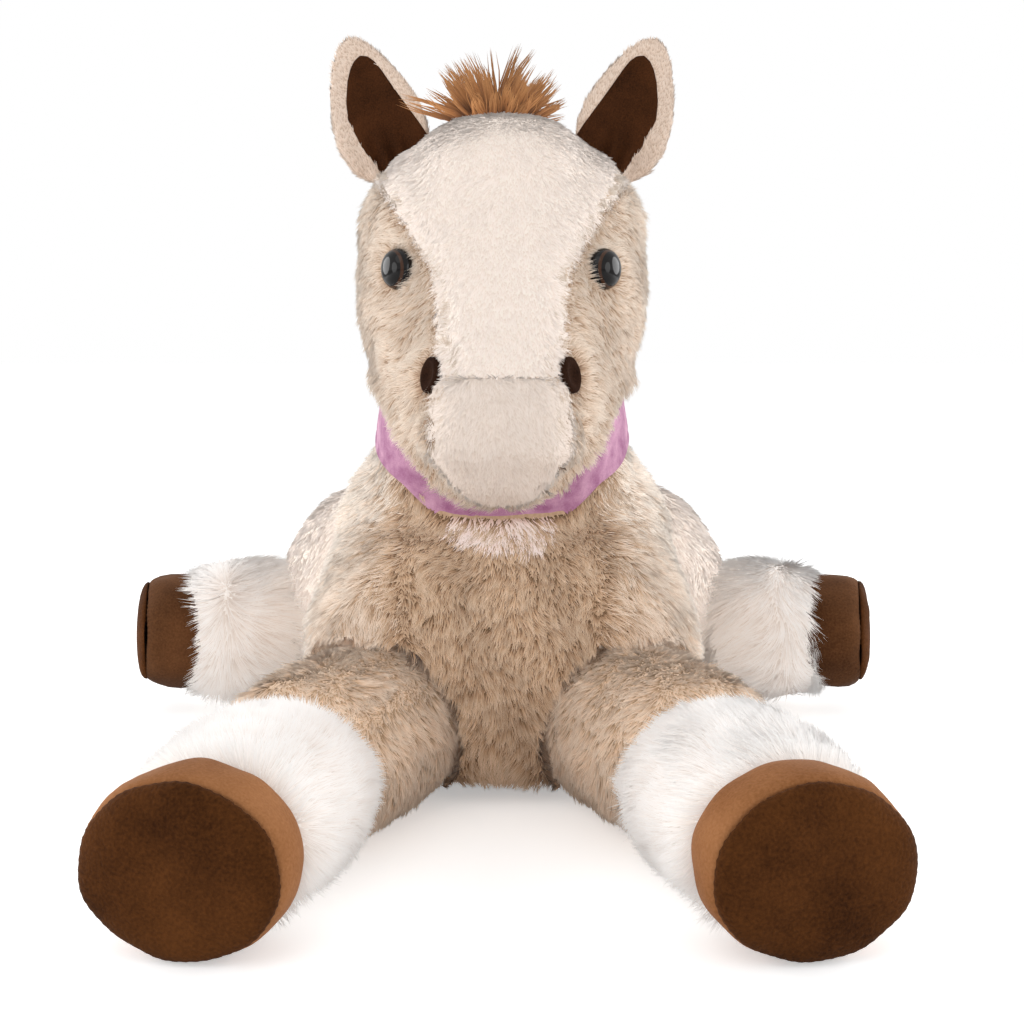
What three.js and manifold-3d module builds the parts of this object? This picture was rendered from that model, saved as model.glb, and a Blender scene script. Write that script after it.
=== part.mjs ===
// A plush horse lying on its belly, made of the stuffed forms and trims that it is sewn from.
// Millimetres, +Z up. The horse looks along -Y, so its own left side is at +X.
// The origin is on the floor, under the middle of the whole toy.

import * as THREE from 'three';
import { mergeVertices } from 'three/addons/utils/BufferGeometryUtils.js';
import Module from 'manifold-3d';

const wasm = await Module();
wasm.setup();

const degree = Math.PI / 180;

// Driving sizes in millimetres, angles in degrees

const seamGap = 0.3; // left between pieces that touch
const jointGap = 0.8; // left round a piece that moves
const neckGap = 1.6; // left round the big ball of the neck
const swingGap = 2; // left round a leg that swings inside the torso
const overrun = 2; // how far a cutter runs past what it cuts

// Torso: widest low down, flat where it lies
const torsoLength = 314;
const torsoHalfWidth = 103;
const torsoHeight = 163;
const torsoWidestHeight = 46;
const torsoFrontY = -99;
const restDepth = 0.5; // sliced off every form that lies on the floor

// Neck: turned about an axis that leans forward, with a ball on top that carries the head
const neckRadius = 60;
const neckFlare = 31;
const neckFlareLength = 60;
const neckRootLength = 95;
const neckLean = 27;
const neckBallY = -22;
const neckBallZ = 176;

// Collar ribbon round the top of the neck
const ribbonWidth = 25;
const ribbonThickness = 1.5;
const ribbonGap = 0.6; // between the neck and the ribbon, which turns on it
const ribbonDrop = 4; // its middle below the middle of the ball

// Head: a skull that tapers down and forward into the muzzle
const skullHalfWidth = 76;
const skullHalfDepth = 73;
const skullY = -8;
const skullZ = 252;
const headLength = 220;
const headSlope = 50; // of its long axis below level
const skullBack = 74; // from the middle of the skull back to the poll
const headLift = 14;
const headDrop = 2;

// Cream panels let into the face
const panelThickness = 2.4;
const panelBackY = 22;
const browHalfWidth = 60;
const noseHalfWidth = 27;
const lipHalfWidth = 31;
const noseSeamZ = 199;
const templeZ = 262;
const cheekZ = 228;

// Eyes: a domed plastic button on a shank, held inside by a lock washer
const eyeRadius = 9.2;
const eyeDome = 5.5;
const eyeShankRadius = 2.4;
const eyeShankLength = 15;
const eyeSink = 1.5;
const eyeZ = 249;
const eyeAzimuth = 38;
const washerRadius = 8.5;
const washerThickness = 2;
const washerPlay = 0.4;

// Nostrils: oval felt patches
const nostrilHalfWidth = 3.4;
const nostrilHalfHeight = 7;
const nostrilThickness = 2;
const nostrilZ = 203;
const nostrilAzimuth = 50;
const nostrilFromY = -78;

// Ears: leaf-shaped, cream behind and velvet in front
const earLength = 79;
const earHalfWidth = 24.5;
const earTaperShare = 0.34;
const earThickness = 5;
const earRim = 3;
const earRootX = 55;
const earRootY = 4;
const earRootZ = 306;
const earSunk = 12; // length of ear inside the head
const earTilt = 20;
const earFlex = 15;
const liningLength = 57;
const liningHalfWidth = 16.5;
const liningThickness = 2.5;
const liningInset = 1.5;
const liningRise = 11; // from the bottom of the ear
const liningIn = 2.5; // towards the forelock

// Forelock, mane and tail
const forelockHalfWidth = 39;
const forelockHalfDepth = 15;
const forelockHeight = 27;
const forelockY = -6;
const maneHalfWidth = 9;
const maneRise = 17;
const maneRoundShare = 0.3;
const maneHeadAngles = [110, 80, 50, 20]; // round the skull, from level at the back
const maneNeckShares = [0.3, 0.6, 0.95]; // of the flare, down from the ribbon
const tailHalfWidth = 15;
const tailRise = 14;
const tailRootY = 203;
const tailRootZ = 112;
const tailReach = 37;
const tailOutShares = [0.6, 1, 0.9]; // of the reach, at the points down the tail
const tailTipZ = 10;
const tailSwing = 18;

// Legs
const hoofHalfWidth = 38.5;
const hoofHalfHeight = 33.5;
const hoofBandLength = 25;
const soleInset = 2.5; // of the seam round the sole, inside the band's swell
const soleCrown = 7;
const soleEdge = 2;
const cuffHalfWidth = 36;
const cuffSwell = 7.5;

const shoulderX = 51;
const shoulderY = -50;
const shoulderZ = 35;
const frontLegRadius = 35;
const frontLegSwell = 2;
const upperLegLength = 92; // from the shoulder's middle to the fetlock
const upperLegSplay = 24;
const frontFootLength = 118; // from the fetlock to the crown of the sole
const frontFootSplay = 11;
const frontFootZ = 33;
const frontCuffHalfHeight = 35;
const frontCuffRoot = 4; // of the cuff, behind the fetlock
const frontLegIn = 6;
const frontLegOut = 24;

const hipX = 82;
const hipY = 118;
const haunchRadius = 61;
const haunchHeight = 137;
const haunchWidestHeight = 46;
const hindLegLength = 138; // from the hip's axis to the crown of the sole
const hindLegZ = 43;
const hindSoleZ = 48;
const hindCuffHalfHeight = 43;
const hindLegAzimuth = 12; // forward of square to the body
const hindCuffRootShare = 0.3; // of the leg's length, inside the haunch

// How finely the forms are faceted
const formSides = 20;
const formRings = 14;
const limbSides = 20;
const limbRings = 6;
const smallSides = 12;
const ribbonSides = 28;
const leafSteps = 16;
const domeSteps = 4;
const sweepSteps = 2;

// Materials

const fabrics = {
  beigePile: new THREE.MeshStandardMaterial({ color: 0xc9b39b, roughness: 0.95, metalness: 0 }),
  creamPlush: new THREE.MeshStandardMaterial({ color: 0xeee3d8, roughness: 0.95, metalness: 0 }),
  whiteFur: new THREE.MeshStandardMaterial({ color: 0xf6f1ec, roughness: 0.95, metalness: 0 }),
  caramelFur: new THREE.MeshStandardMaterial({ color: 0xa9713f, roughness: 0.9, metalness: 0 }),
  hoofSuede: new THREE.MeshStandardMaterial({ color: 0x8f5a34, roughness: 0.9, metalness: 0 }),
  soleSuede: new THREE.MeshStandardMaterial({ color: 0x5b3a1f, roughness: 0.95, metalness: 0 }),
  earVelvet: new THREE.MeshStandardMaterial({ color: 0x4a2c1a, roughness: 0.95, metalness: 0 }),
  ribbonVelvet: new THREE.MeshStandardMaterial({ color: 0xcf8fd0, roughness: 0.85, metalness: 0 }),
  nostrilFelt: new THREE.MeshStandardMaterial({ color: 0x3a2416, roughness: 0.95, metalness: 0 }),
  eyePlastic: new THREE.MeshStandardMaterial({ color: 0x0d0805, roughness: 0.1, metalness: 0 }),
  washerPlastic: new THREE.MeshStandardMaterial({ color: 0xd8d8d4, roughness: 0.5, metalness: 0 }),
};

// Solids from geometry, and back

function signedVolume(position, index) {
  const [a, b, c] = [new THREE.Vector3(), new THREE.Vector3(), new THREE.Vector3()];
  let total = 0;
  for (let i = 0; i < index.length; i += 3) {
    a.fromArray(position, 3 * index[i]);
    b.fromArray(position, 3 * index[i + 1]);
    c.fromArray(position, 3 * index[i + 2]);
    total += a.dot(b.cross(c));
  }
  return total;
}

function solidOf(geometry) {
  const bare = geometry.clone();
  bare.deleteAttribute('normal');
  bare.deleteAttribute('uv');
  const merged = mergeVertices(bare);
  const vertProperties = Float32Array.from(merged.attributes.position.array);
  const triVerts = Uint32Array.from(merged.index.array);
  if (signedVolume(vertProperties, triVerts) < 0) {
    triVerts.reverse();
  }
  return new wasm.Manifold(new wasm.Mesh({ numProp: 3, vertProperties, triVerts }));
}

function geometryOf(solid) {
  const mesh = solid.getMesh();
  const geometry = new THREE.BufferGeometry();
  geometry.setAttribute('position', new THREE.BufferAttribute(mesh.vertProperties, 3));
  geometry.setIndex(new THREE.BufferAttribute(mesh.triVerts, 1));
  geometry.computeVertexNormals();
  return geometry;
}

// The biggest body left when a cut also leaves crumbs
function mainBody(solid) {
  const bodies = solid.decompose();
  return bodies.reduce((best, body) => (body.volume() > best.volume() ? body : best));
}

function cut(solid, ...cutters) {
  return mainBody(cutters.reduce((rest, cutter) => rest.subtract(cutter), solid));
}

// Shapes

// Catmull-Rom through evenly spaced shares
function smoothShare(shares, t) {
  const curve = new THREE.SplineCurve(shares.map((share, i) => new THREE.Vector2(i, share)));
  return curve.getPoint(t).y;
}

function roundEnds(t, startRoundShare, endRoundShare) {
  const fromStart = Math.min(t / startRoundShare, 1);
  const fromEnd = Math.min((1 - t) / endRoundShare, 1);
  return Math.sqrt(1 - (1 - fromStart) ** 2) * Math.sqrt(1 - (1 - fromEnd) ** 2);
}

// A stuffed form: rings that swell and taper along a spine, closed by a point at each end.
// grow makes it larger all round, for the clearance round it.
function stuffedForm(form, grow = 0) {
  const { spine, upward, halfWidth, upperHeight, lowerHeight } = form;
  const positions = [];
  const index = [];
  const start = spine.getPoint(0).addScaledVector(spine.getTangent(0), -grow);
  const end = spine.getPoint(1).addScaledVector(spine.getTangent(1), grow);
  positions.push(...start.toArray());
  for (let i = 1; i < form.rings; i++) {
    const t = (1 - Math.cos((Math.PI * i) / form.rings)) / 2;
    const along = spine.getTangent(t);
    const middle = spine.getPoint(t).addScaledVector(along, grow * (2 * t - 1));
    const across = new THREE.Vector3().crossVectors(along, upward).normalize();
    const up = new THREE.Vector3().crossVectors(across, along);
    const ends = roundEnds(t, form.startRoundShare, form.endRoundShare);
    const wide = halfWidth * ends * smoothShare(form.widthShares, t) + grow;
    const high = upperHeight * ends * smoothShare(form.upperShares, t) + grow;
    const low = lowerHeight * ends * smoothShare(form.lowerShares, t) + grow;
    for (let j = 0; j < form.sides; j++) {
      const angle = (2 * Math.PI * j) / form.sides;
      const x = Math.sign(Math.cos(angle)) * Math.abs(Math.cos(angle)) ** form.squareness;
      const y = Math.sign(Math.sin(angle)) * Math.abs(Math.sin(angle)) ** form.squareness;
      const point = middle.clone().addScaledVector(across, wide * x);
      point.addScaledVector(up, (y > 0 ? high : low) * y);
      positions.push(...point.toArray());
    }
  }
  positions.push(...end.toArray());
  const last = positions.length / 3 - 1;
  for (let j = 0; j < form.sides; j++) {
    const next = (j + 1) % form.sides;
    index.push(0, 1 + j, 1 + next);
    for (let i = 0; i < form.rings - 2; i++) {
      const near = 1 + i * form.sides;
      const far = near + form.sides;
      index.push(near + j, far + j, far + next);
      index.push(near + j, far + next, near + next);
    }
    index.push(last, last - form.sides + next, last - form.sides + j);
  }
  const geometry = new THREE.BufferGeometry();
  geometry.setAttribute('position', new THREE.Float32BufferAttribute(positions, 3));
  geometry.setIndex(index);
  return geometry;
}

// A turned shape about Z from points of radius and height
function turned(points, sides) {
  const profile = points.map(([radius, height]) => new THREE.Vector2(radius, height));
  return new THREE.LatheGeometry(profile, sides).rotateX(Math.PI / 2);
}

function arcPoints(steps, place) {
  return Array.from({ length: steps + 1 }, (_, i) => place(i / steps));
}

function placed(geometry, matrix) {
  return geometry.clone().applyMatrix4(matrix);
}

// A frame at a place whose Z points along a direction, with Y kept as close to up as it can be
function frameAlong(place, direction) {
  const z = direction.clone().normalize();
  const x = new THREE.Vector3(0, 0, 1).cross(z).normalize();
  const y = new THREE.Vector3().crossVectors(z, x);
  return new THREE.Matrix4().makeBasis(x, y, z).setPosition(place);
}

function turnAbout(place, axis, angle) {
  const there = new THREE.Matrix4().makeTranslation(...place.toArray());
  const back = new THREE.Matrix4().makeTranslation(...place.clone().negate().toArray());
  const turn = new THREE.Matrix4().makeRotationAxis(axis, angle * degree);
  return there.multiply(turn).multiply(back);
}

// The space that a geometry sweeps as it turns between two angles, as copies
function sweep(geometry, place, axis, from, to) {
  return arcPoints(sweepSteps, (share) => {
    return solidOf(placed(geometry, turnAbout(place, axis, from + (to - from) * share)));
  });
}

function ballGeometry(radius, place) {
  return new THREE.SphereGeometry(radius, limbSides, limbRings * 2).translate(...place.toArray());
}

const xAxis = new THREE.Vector3(1, 0, 0);
const zAxis = new THREE.Vector3(0, 0, 1);

function floorBlock() {
  const span = 2 * torsoLength;
  const block = new THREE.BoxGeometry(2 * span, 2 * span, span);
  return solidOf(block.translate(0, 0, -span / 2));
}

const floor = floorBlock();

// Torso

const torsoForm = {
  spine: new THREE.LineCurve3(
    new THREE.Vector3(0, torsoFrontY, torsoWidestHeight - restDepth),
    new THREE.Vector3(0, torsoFrontY + torsoLength, torsoWidestHeight - restDepth),
  ),
  upward: zAxis,
  halfWidth: torsoHalfWidth,
  upperHeight: torsoHeight - torsoWidestHeight + restDepth,
  lowerHeight: torsoWidestHeight,
  widthShares: [0.84, 1, 1, 0.93, 0.86, 0.8],
  upperShares: [0.7, 0.93, 0.97, 1, 0.98, 0.86],
  lowerShares: [1, 1, 1, 1, 1, 0.9],
  startRoundShare: 0.06,
  endRoundShare: 0.32,
  squareness: 0.84,
  rings: formRings,
  sides: formSides,
};

// Neck, in a frame whose Z is the neck's own axis, with the ball's middle at zero

const neckBall = new THREE.Vector3(0, neckBallY, neckBallZ);
const neckAxis = new THREE.Vector3(0, -Math.sin(neckLean * degree), Math.cos(neckLean * degree));
const neckFrame = new THREE.Matrix4()
  .makeRotationX(neckLean * degree)
  .setPosition(neckBall);

function neckRadiusAt(height) {
  if (height > 0) {
    return Math.sqrt(Math.max(neckRadius ** 2 - height ** 2, 0));
  }
  const share = Math.min(-height / neckFlareLength, 1);
  return neckRadius + (neckFlare * (1 - Math.cos(Math.PI * share))) / 2;
}

const ribbonLow = -ribbonDrop - ribbonWidth / 2;
const ribbonHigh = ribbonWidth / 2 - ribbonDrop;

// From the root up to the lower edge of the ribbon
function neckSkirt(grow = 0) {
  return arcPoints(limbRings, (share) => {
    const height = ribbonLow + (neckRootLength + ribbonLow) * (share - 1);
    return [neckRadiusAt(height) + grow, height];
  });
}

// Straight under the ribbon, then a ball
function neckGeometry(grow = 0) {
  const ballStart = Math.asin(ribbonHigh / neckRadius);
  const ball = arcPoints(limbRings, (share) => {
    const angle = ballStart + (Math.PI / 2 - ballStart) * share;
    return [(neckRadius + grow) * Math.cos(angle), (neckRadius + grow) * Math.sin(angle)];
  });
  ball.at(-1)[0] = 0;
  const points = [[0, -neckRootLength - grow], ...neckSkirt(grow), ...ball];
  return placed(turned(points, ribbonSides), neckFrame);
}

function ribbonGeometry(grow = 0) {
  const low = neckRadiusAt(ribbonLow) + ribbonGap - grow;
  const high = neckRadiusAt(ribbonHigh) + ribbonGap - grow;
  const thickness = ribbonThickness + 2 * grow;
  const points = [
    [low, ribbonLow - grow],
    [low + thickness, ribbonLow - grow],
    [high + thickness, ribbonHigh + grow],
    [high, ribbonHigh + grow],
  ];
  return placed(turned([...points, points[0]], ribbonSides), neckFrame);
}

// What the head must clear as it nods: the neck below the ball, with its collar
function collarKeepOut(grow) {
  const skirt = neckSkirt(grow);
  const proud = ribbonGap + ribbonThickness;
  const points = [
    [0, skirt[0][1]],
    ...skirt,
    [neckRadiusAt(ribbonLow) + proud + grow, ribbonLow],
    [neckRadiusAt(ribbonHigh) + proud + grow, ribbonHigh + grow],
    [0, ribbonHigh + grow],
  ];
  return placed(turned(points, limbSides), neckFrame);
}

// Head

const headDirection = new THREE.Vector3(0, -Math.cos(headSlope * degree), -Math.sin(headSlope * degree));
const skull = new THREE.Vector3(0, skullY, skullZ);
const poll = skull.clone().addScaledVector(headDirection, -skullBack);

const headForm = {
  spine: new THREE.LineCurve3(poll, poll.clone().addScaledVector(headDirection, headLength)),
  upward: new THREE.Vector3(0, -1, 1),
  halfWidth: skullHalfWidth,
  upperHeight: skullHalfDepth,
  lowerHeight: skullHalfDepth,
  widthShares: [0.86, 0.98, 1, 0.97, 0.77, 0.6, 0.54],
  upperShares: [0.9, 1, 1, 0.89, 0.71, 0.62, 0.57],
  lowerShares: [0.9, 1, 1, 0.88, 0.62, 0.42, 0.38],
  startRoundShare: 0.36,
  endRoundShare: 0.2,
  squareness: 0.95,
  rings: formRings,
  sides: formSides,
};

// Outline of both face panels seen from the front, as a prism that reaches back over the crown
function facePrism(lowZ, highZ, inset) {
  const outline = new THREE.SplineCurve([
    new THREE.Vector2(browHalfWidth, skullZ + skullHalfDepth),
    new THREE.Vector2(browHalfWidth, (skullZ + skullHalfDepth + templeZ) / 2),
    new THREE.Vector2((browHalfWidth + noseHalfWidth) / 2, templeZ - (templeZ - cheekZ) / 2),
    new THREE.Vector2(noseHalfWidth, (cheekZ + noseSeamZ) / 2),
    new THREE.Vector2(lipHalfWidth, noseSeamZ - lipHalfWidth),
    new THREE.Vector2(lipHalfWidth, 0),
  ]);
  const side = outline.getPoints(limbRings * 2).filter((point) => point.y < highZ && point.y > lowZ);
  const widthAt = (z) => {
    const points = outline.getPoints(limbSides * 2);
    return points.reduce((a, b) => (Math.abs(b.y - z) < Math.abs(a.y - z) ? b : a)).x;
  };
  const edge = [new THREE.Vector2(widthAt(highZ), highZ), ...side, new THREE.Vector2(widthAt(lowZ), lowZ)];
  const right = edge.map((point) => new THREE.Vector2(point.x - inset, point.y));
  const left = right.map((point) => new THREE.Vector2(-point.x, point.y)).reverse();
  const depth = headLength;
  const prism = new THREE.ExtrudeGeometry(new THREE.Shape([...right, ...left]), {
    depth,
    bevelEnabled: false,
  });
  prism.rotateX(Math.PI / 2);
  prism.translate(0, panelBackY - inset, 0);
  return solidOf(prism);
}

// The place where a ray from inside a form leaves it
function surfacePlace(form, from, direction) {
  const mesh = new THREE.Mesh(stuffedForm(form), new THREE.MeshBasicMaterial({ side: THREE.DoubleSide }));
  const hits = new THREE.Raycaster(from, direction.clone().normalize()).intersectObject(mesh);
  return hits.at(-1).point;
}

function azimuthDirection(side, azimuth) {
  return new THREE.Vector3(side * Math.sin(azimuth * degree), -Math.cos(azimuth * degree), 0);
}

function eyeFrame(side) {
  const direction = azimuthDirection(side, eyeAzimuth);
  const place = surfacePlace(headForm, new THREE.Vector3(0, skullY, eyeZ), direction);
  return frameAlong(place.addScaledVector(direction, -eyeSink), direction);
}

function eyeGeometry(side, grow = 0) {
  const dome = arcPoints(domeSteps, (share) => {
    const angle = (share * Math.PI) / 2;
    return [(eyeRadius + grow) * Math.cos(angle), (eyeDome + grow) * Math.sin(angle)];
  });
  dome.at(-1)[0] = 0;
  const points = [
    [0, -eyeShankLength - grow],
    [eyeShankRadius + grow, -eyeShankLength - grow],
    [eyeShankRadius + grow, -grow],
    [eyeRadius + grow, -grow],
    ...dome,
  ];
  return placed(turned(points, smallSides), eyeFrame(side));
}

const washerHeight = -eyeShankLength + 2 * washerThickness;

function washerGeometry(side) {
  const hole = eyeShankRadius + washerPlay;
  const top = washerHeight + washerThickness;
  const corners = [[hole, washerHeight], [washerRadius, washerHeight], [washerRadius, top], [hole, top]];
  return placed(turned([...corners, corners[0]], smallSides), eyeFrame(side));
}

function washerPocket(side) {
  const low = -eyeShankLength - washerPlay;
  const high = washerHeight + washerThickness + washerPlay;
  const radius = washerRadius + washerPlay;
  return placed(turned([[0, low], [radius, low], [radius, high], [0, high]], smallSides), eyeFrame(side));
}

function nostrilGeometry(side, grow = 0) {
  const direction = azimuthDirection(side, nostrilAzimuth);
  const place = surfacePlace(headForm, new THREE.Vector3(0, nostrilFromY, nostrilZ), direction);
  const depth = nostrilThickness + grow;
  const patch = turned([[0, -depth], [1, -depth], [1, grow], [0, grow]], smallSides);
  patch.scale(nostrilHalfWidth + grow, nostrilHalfHeight + grow, 1);
  return placed(patch, frameAlong(place, direction));
}

// Ears, in a frame with X across the ear, Y up it and Z out of its front, the hinge at zero

function earFrame(side) {
  const lean = new THREE.Matrix4().makeRotationY(side * earTilt * degree);
  const stand = new THREE.Matrix4().makeRotationX(Math.PI / 2);
  return lean.multiply(stand).setPosition(side * earRootX, earRootY, earRootZ);
}

function leaf(length, halfWidth, thickness, rim, grow = 0) {
  const outline = arcPoints(leafSteps, (share) => {
    const angle = 2 * Math.PI * share;
    const across = (halfWidth - rim + grow) * Math.cos(angle) * (1 - earTaperShare * Math.sin(angle));
    const up = (length / 2 - rim + grow) * Math.sin(angle);
    return new THREE.Vector2(across, length / 2 + up);
  }).slice(1);
  const geometry = new THREE.ExtrudeGeometry(new THREE.Shape(outline), {
    depth: thickness + 2 * grow,
    bevelEnabled: rim > 0,
    bevelSize: rim,
    bevelThickness: rim,
    bevelSegments: 2,
  });
  return geometry.translate(0, 0, -thickness - grow);
}

const earFront = earThickness / 2 + earRim;

function earGeometry(side, grow = 0) {
  const ear = leaf(earLength, earHalfWidth, earThickness, earRim, grow);
  return placed(ear.translate(0, -earSunk, earFront - earRim), earFrame(side));
}

function liningGeometry(side, grow = 0) {
  const lining = leaf(liningLength, liningHalfWidth, liningThickness, 0, grow);
  lining.translate(-side * liningIn, liningRise - earSunk, earFront - liningInset + liningThickness);
  return placed(lining, earFrame(side));
}

function earHinge(side) {
  const axis = new THREE.Vector3(Math.cos(earTilt * degree), 0, -side * Math.sin(earTilt * degree));
  return { place: new THREE.Vector3(side * earRootX, earRootY, earRootZ), axis };
}

function earSweep(side) {
  const { place, axis } = earHinge(side);
  const liningProud = liningThickness - liningInset;
  const slab = leaf(earLength, earHalfWidth, 2 * earFront + liningProud, 0, seamGap);
  const ear = placed(slab.translate(0, -earSunk, earFront + liningProud), earFrame(side));
  return sweep(ear, place, axis, -earFlex, earFlex);
}

// Forelock, mane and tail

const evenShares = [1, 1, 1];

const crown = surfacePlace(headForm, new THREE.Vector3(0, forelockY, skullZ), zAxis);

const forelockForm = {
  spine: new THREE.LineCurve3(
    crown.clone().addScaledVector(zAxis, -forelockHeight / 2),
    crown.clone().addScaledVector(zAxis, forelockHeight),
  ),
  upward: new THREE.Vector3(0, 1, 0),
  halfWidth: forelockHalfWidth,
  upperHeight: forelockHalfDepth,
  lowerHeight: forelockHalfDepth,
  widthShares: [0.5, 0.75, 1],
  upperShares: [0.6, 0.9, 1],
  lowerShares: [0.6, 0.9, 1],
  startRoundShare: 0.2,
  endRoundShare: 0.45,
  squareness: 1,
  rings: limbRings,
  sides: smallSides,
};

function crestForm(spine) {
  return {
    spine,
    upward: new THREE.Vector3(0, 1, 1),
    halfWidth: maneHalfWidth,
    upperHeight: maneRise,
    lowerHeight: maneRise,
    widthShares: evenShares,
    upperShares: evenShares,
    lowerShares: evenShares,
    startRoundShare: maneRoundShare,
    endRoundShare: maneRoundShare,
    squareness: 1,
    rings: limbRings + 2,
    sides: smallSides - 4,
  };
}

// The mane follows the back of the skull, then the back of the neck
function maneHeadSpine() {
  const points = maneHeadAngles.map((angle) => {
    const out = new THREE.Vector3(0, Math.cos(angle * degree), Math.sin(angle * degree));
    return surfacePlace(headForm, skull, out);
  });
  return new THREE.CatmullRomCurve3(points);
}

function maneNeckSpine() {
  const points = maneNeckShares.map((share) => {
    const height = -neckFlareLength * share - ribbonWidth / 2;
    const back = new THREE.Vector3(0, Math.cos(neckLean * degree), Math.sin(neckLean * degree));
    const place = neckBall.clone().addScaledVector(neckAxis, height);
    return place.addScaledVector(back, neckRadiusAt(height));
  });
  return new THREE.CatmullRomCurve3(points);
}

const tailRoot = new THREE.Vector3(0, tailRootY, tailRootZ);

const tailForm = {
  spine: new THREE.CatmullRomCurve3([
    tailRoot.clone().add(new THREE.Vector3(0, -tailRise, tailRise / 2)),
    tailRoot.clone().add(new THREE.Vector3(0, tailReach * tailOutShares[0], -tailRise)),
    new THREE.Vector3(0, tailRootY + tailReach * tailOutShares[1], tailRootZ / 2),
    new THREE.Vector3(0, tailRootY + tailReach * tailOutShares[2], tailTipZ),
  ]),
  upward: new THREE.Vector3(0, 1, 0.4),
  halfWidth: tailHalfWidth,
  upperHeight: tailRise,
  lowerHeight: tailRise,
  widthShares: [0.7, 0.95, 1.05, 0.95, 0.5],
  upperShares: [0.7, 0.9, 1, 0.9, 0.5],
  lowerShares: [0.7, 0.9, 1, 0.9, 0.5],
  startRoundShare: 0.12,
  endRoundShare: 0.25,
  squareness: 1,
  rings: limbRings + 4,
  sides: smallSides - 4,
};

// Legs, in a frame whose Z runs down the leg, from the shoulder, the fetlock or the hip

function shoulderPlace(side) {
  return new THREE.Vector3(side * shoulderX, shoulderY, shoulderZ);
}

// The upper leg and the foot lie at different angles, so the leg bends at the fetlock
function frontLeg(side) {
  const shoulder = shoulderPlace(side);
  const fetlock = shoulder.clone();
  fetlock.addScaledVector(azimuthDirection(side, upperLegSplay), upperLegLength);
  const footDirection = azimuthDirection(side, frontFootSplay);
  fetlock.setZ((shoulderZ + frontFootZ) / 2);
  const toSole = footDirection.multiplyScalar(frontFootLength).setZ(frontFootZ - fetlock.z);
  return {
    upper: frameAlong(shoulder, fetlock.clone().sub(shoulder)),
    foot: { frame: frameAlong(fetlock, toSole), length: frontFootLength },
  };
}

function hindLeg(side) {
  const hip = new THREE.Vector3(side * hipX, hipY, hindLegZ);
  const direction = azimuthDirection(side, 90 - hindLegAzimuth);
  direction.multiplyScalar(hindLegLength).setZ(hindSoleZ - hindLegZ);
  return { frame: frameAlong(hip, direction), length: hindLegLength };
}

function upperLegWall(grow) {
  return arcPoints(limbRings / 2, (share) => {
    const swell = frontLegSwell * Math.sin(Math.PI * share);
    return [frontLegRadius + swell + grow, (upperLegLength + grow) * share];
  });
}

// Without the ball at the shoulder, which keeps its place as the leg swings
function upperLimbGeometry(side, grow) {
  const wall = upperLegWall(grow);
  return placed(turned([[0, 0], ...wall, [0, wall.at(-1)[1]]], limbSides), frontLeg(side).upper);
}

function upperLegGeometry(side, grow = 0) {
  const radius = frontLegRadius + grow;
  const ball = arcPoints(limbRings, (share) => {
    const angle = (share * Math.PI) / 2;
    return [radius * Math.sin(angle), -radius * Math.cos(angle)];
  });
  ball[0][0] = 0;
  const wall = upperLegWall(grow);
  const points = [...ball, ...wall.slice(1), [0, wall.at(-1)[1]]];
  return placed(turned(points, limbSides), frontLeg(side).upper);
}

// A turned shape, flattened to its own height and laid along the leg
function legPiece(points, halfWidth, halfHeight, leg) {
  const piece = turned(points, limbSides).scale(1, halfHeight / halfWidth, 1);
  return placed(piece, leg.frame);
}

function cuffGeometry(leg, start, halfHeight) {
  const end = leg.length - soleCrown - hoofBandLength - seamGap;
  const wall = arcPoints(limbRings, (share) => {
    return [cuffHalfWidth + cuffSwell * Math.sin(Math.PI * share), start + (end - start) * share];
  });
  return legPiece([[0, start], ...wall, [0, end]], cuffHalfWidth + cuffSwell, halfHeight, leg);
}

function hoofBandGeometry(leg) {
  const start = leg.length - soleCrown - hoofBandLength;
  const end = leg.length - soleCrown - seamGap;
  const wall = arcPoints(domeSteps + 1, (share) => {
    const pull = soleInset * Math.sin((Math.PI / 2) * share) ** 4;
    return [hoofHalfWidth - pull, start + (end - start) * share];
  });
  return legPiece([[0, start], ...wall, [0, end]], hoofHalfWidth, hoofHalfHeight, leg);
}

function soleGeometry(leg) {
  const start = leg.length - soleCrown;
  const radius = hoofHalfWidth - soleInset;
  const crownArc = arcPoints(domeSteps, (share) => {
    const angle = (share * Math.PI) / 2;
    return [radius * Math.cos(angle), start + soleEdge + (soleCrown - soleEdge) * Math.sin(angle)];
  });
  crownArc.at(-1)[0] = 0;
  return legPiece([[0, start], [radius, start], ...crownArc], hoofHalfWidth, hoofHalfHeight, leg);
}

function haunchGeometry(side, grow = 0) {
  const low = arcPoints(domeSteps, (share) => {
    const height = (haunchWidestHeight + restDepth) * (share - 1);
    const radius = Math.sqrt(haunchRadius ** 2 - height ** 2);
    return [radius + grow, haunchWidestHeight + height];
  });
  low[0][1] -= grow;
  const high = arcPoints(limbRings, (share) => {
    const angle = (share * Math.PI) / 2;
    const rise = haunchHeight - haunchWidestHeight + grow;
    return [(haunchRadius + grow) * Math.cos(angle), haunchWidestHeight + rise * Math.sin(angle)];
  });
  high.at(-1)[0] = 0;
  const points = [[0, low[0][1]], ...low, ...high.slice(1)];
  return turned(points, limbSides).translate(side * hipX, hipY, 0);
}

// Assembly

const horse = new THREE.Group();
horse.name = 'plush_horse';

function addPiece(name, solid, material) {
  const piece = new THREE.Mesh(geometryOf(solid), material);
  piece.name = name;
  horse.add(piece);
}

const sides = [
  { name: 'left', side: 1 },
  { name: 'right', side: -1 },
];

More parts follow.
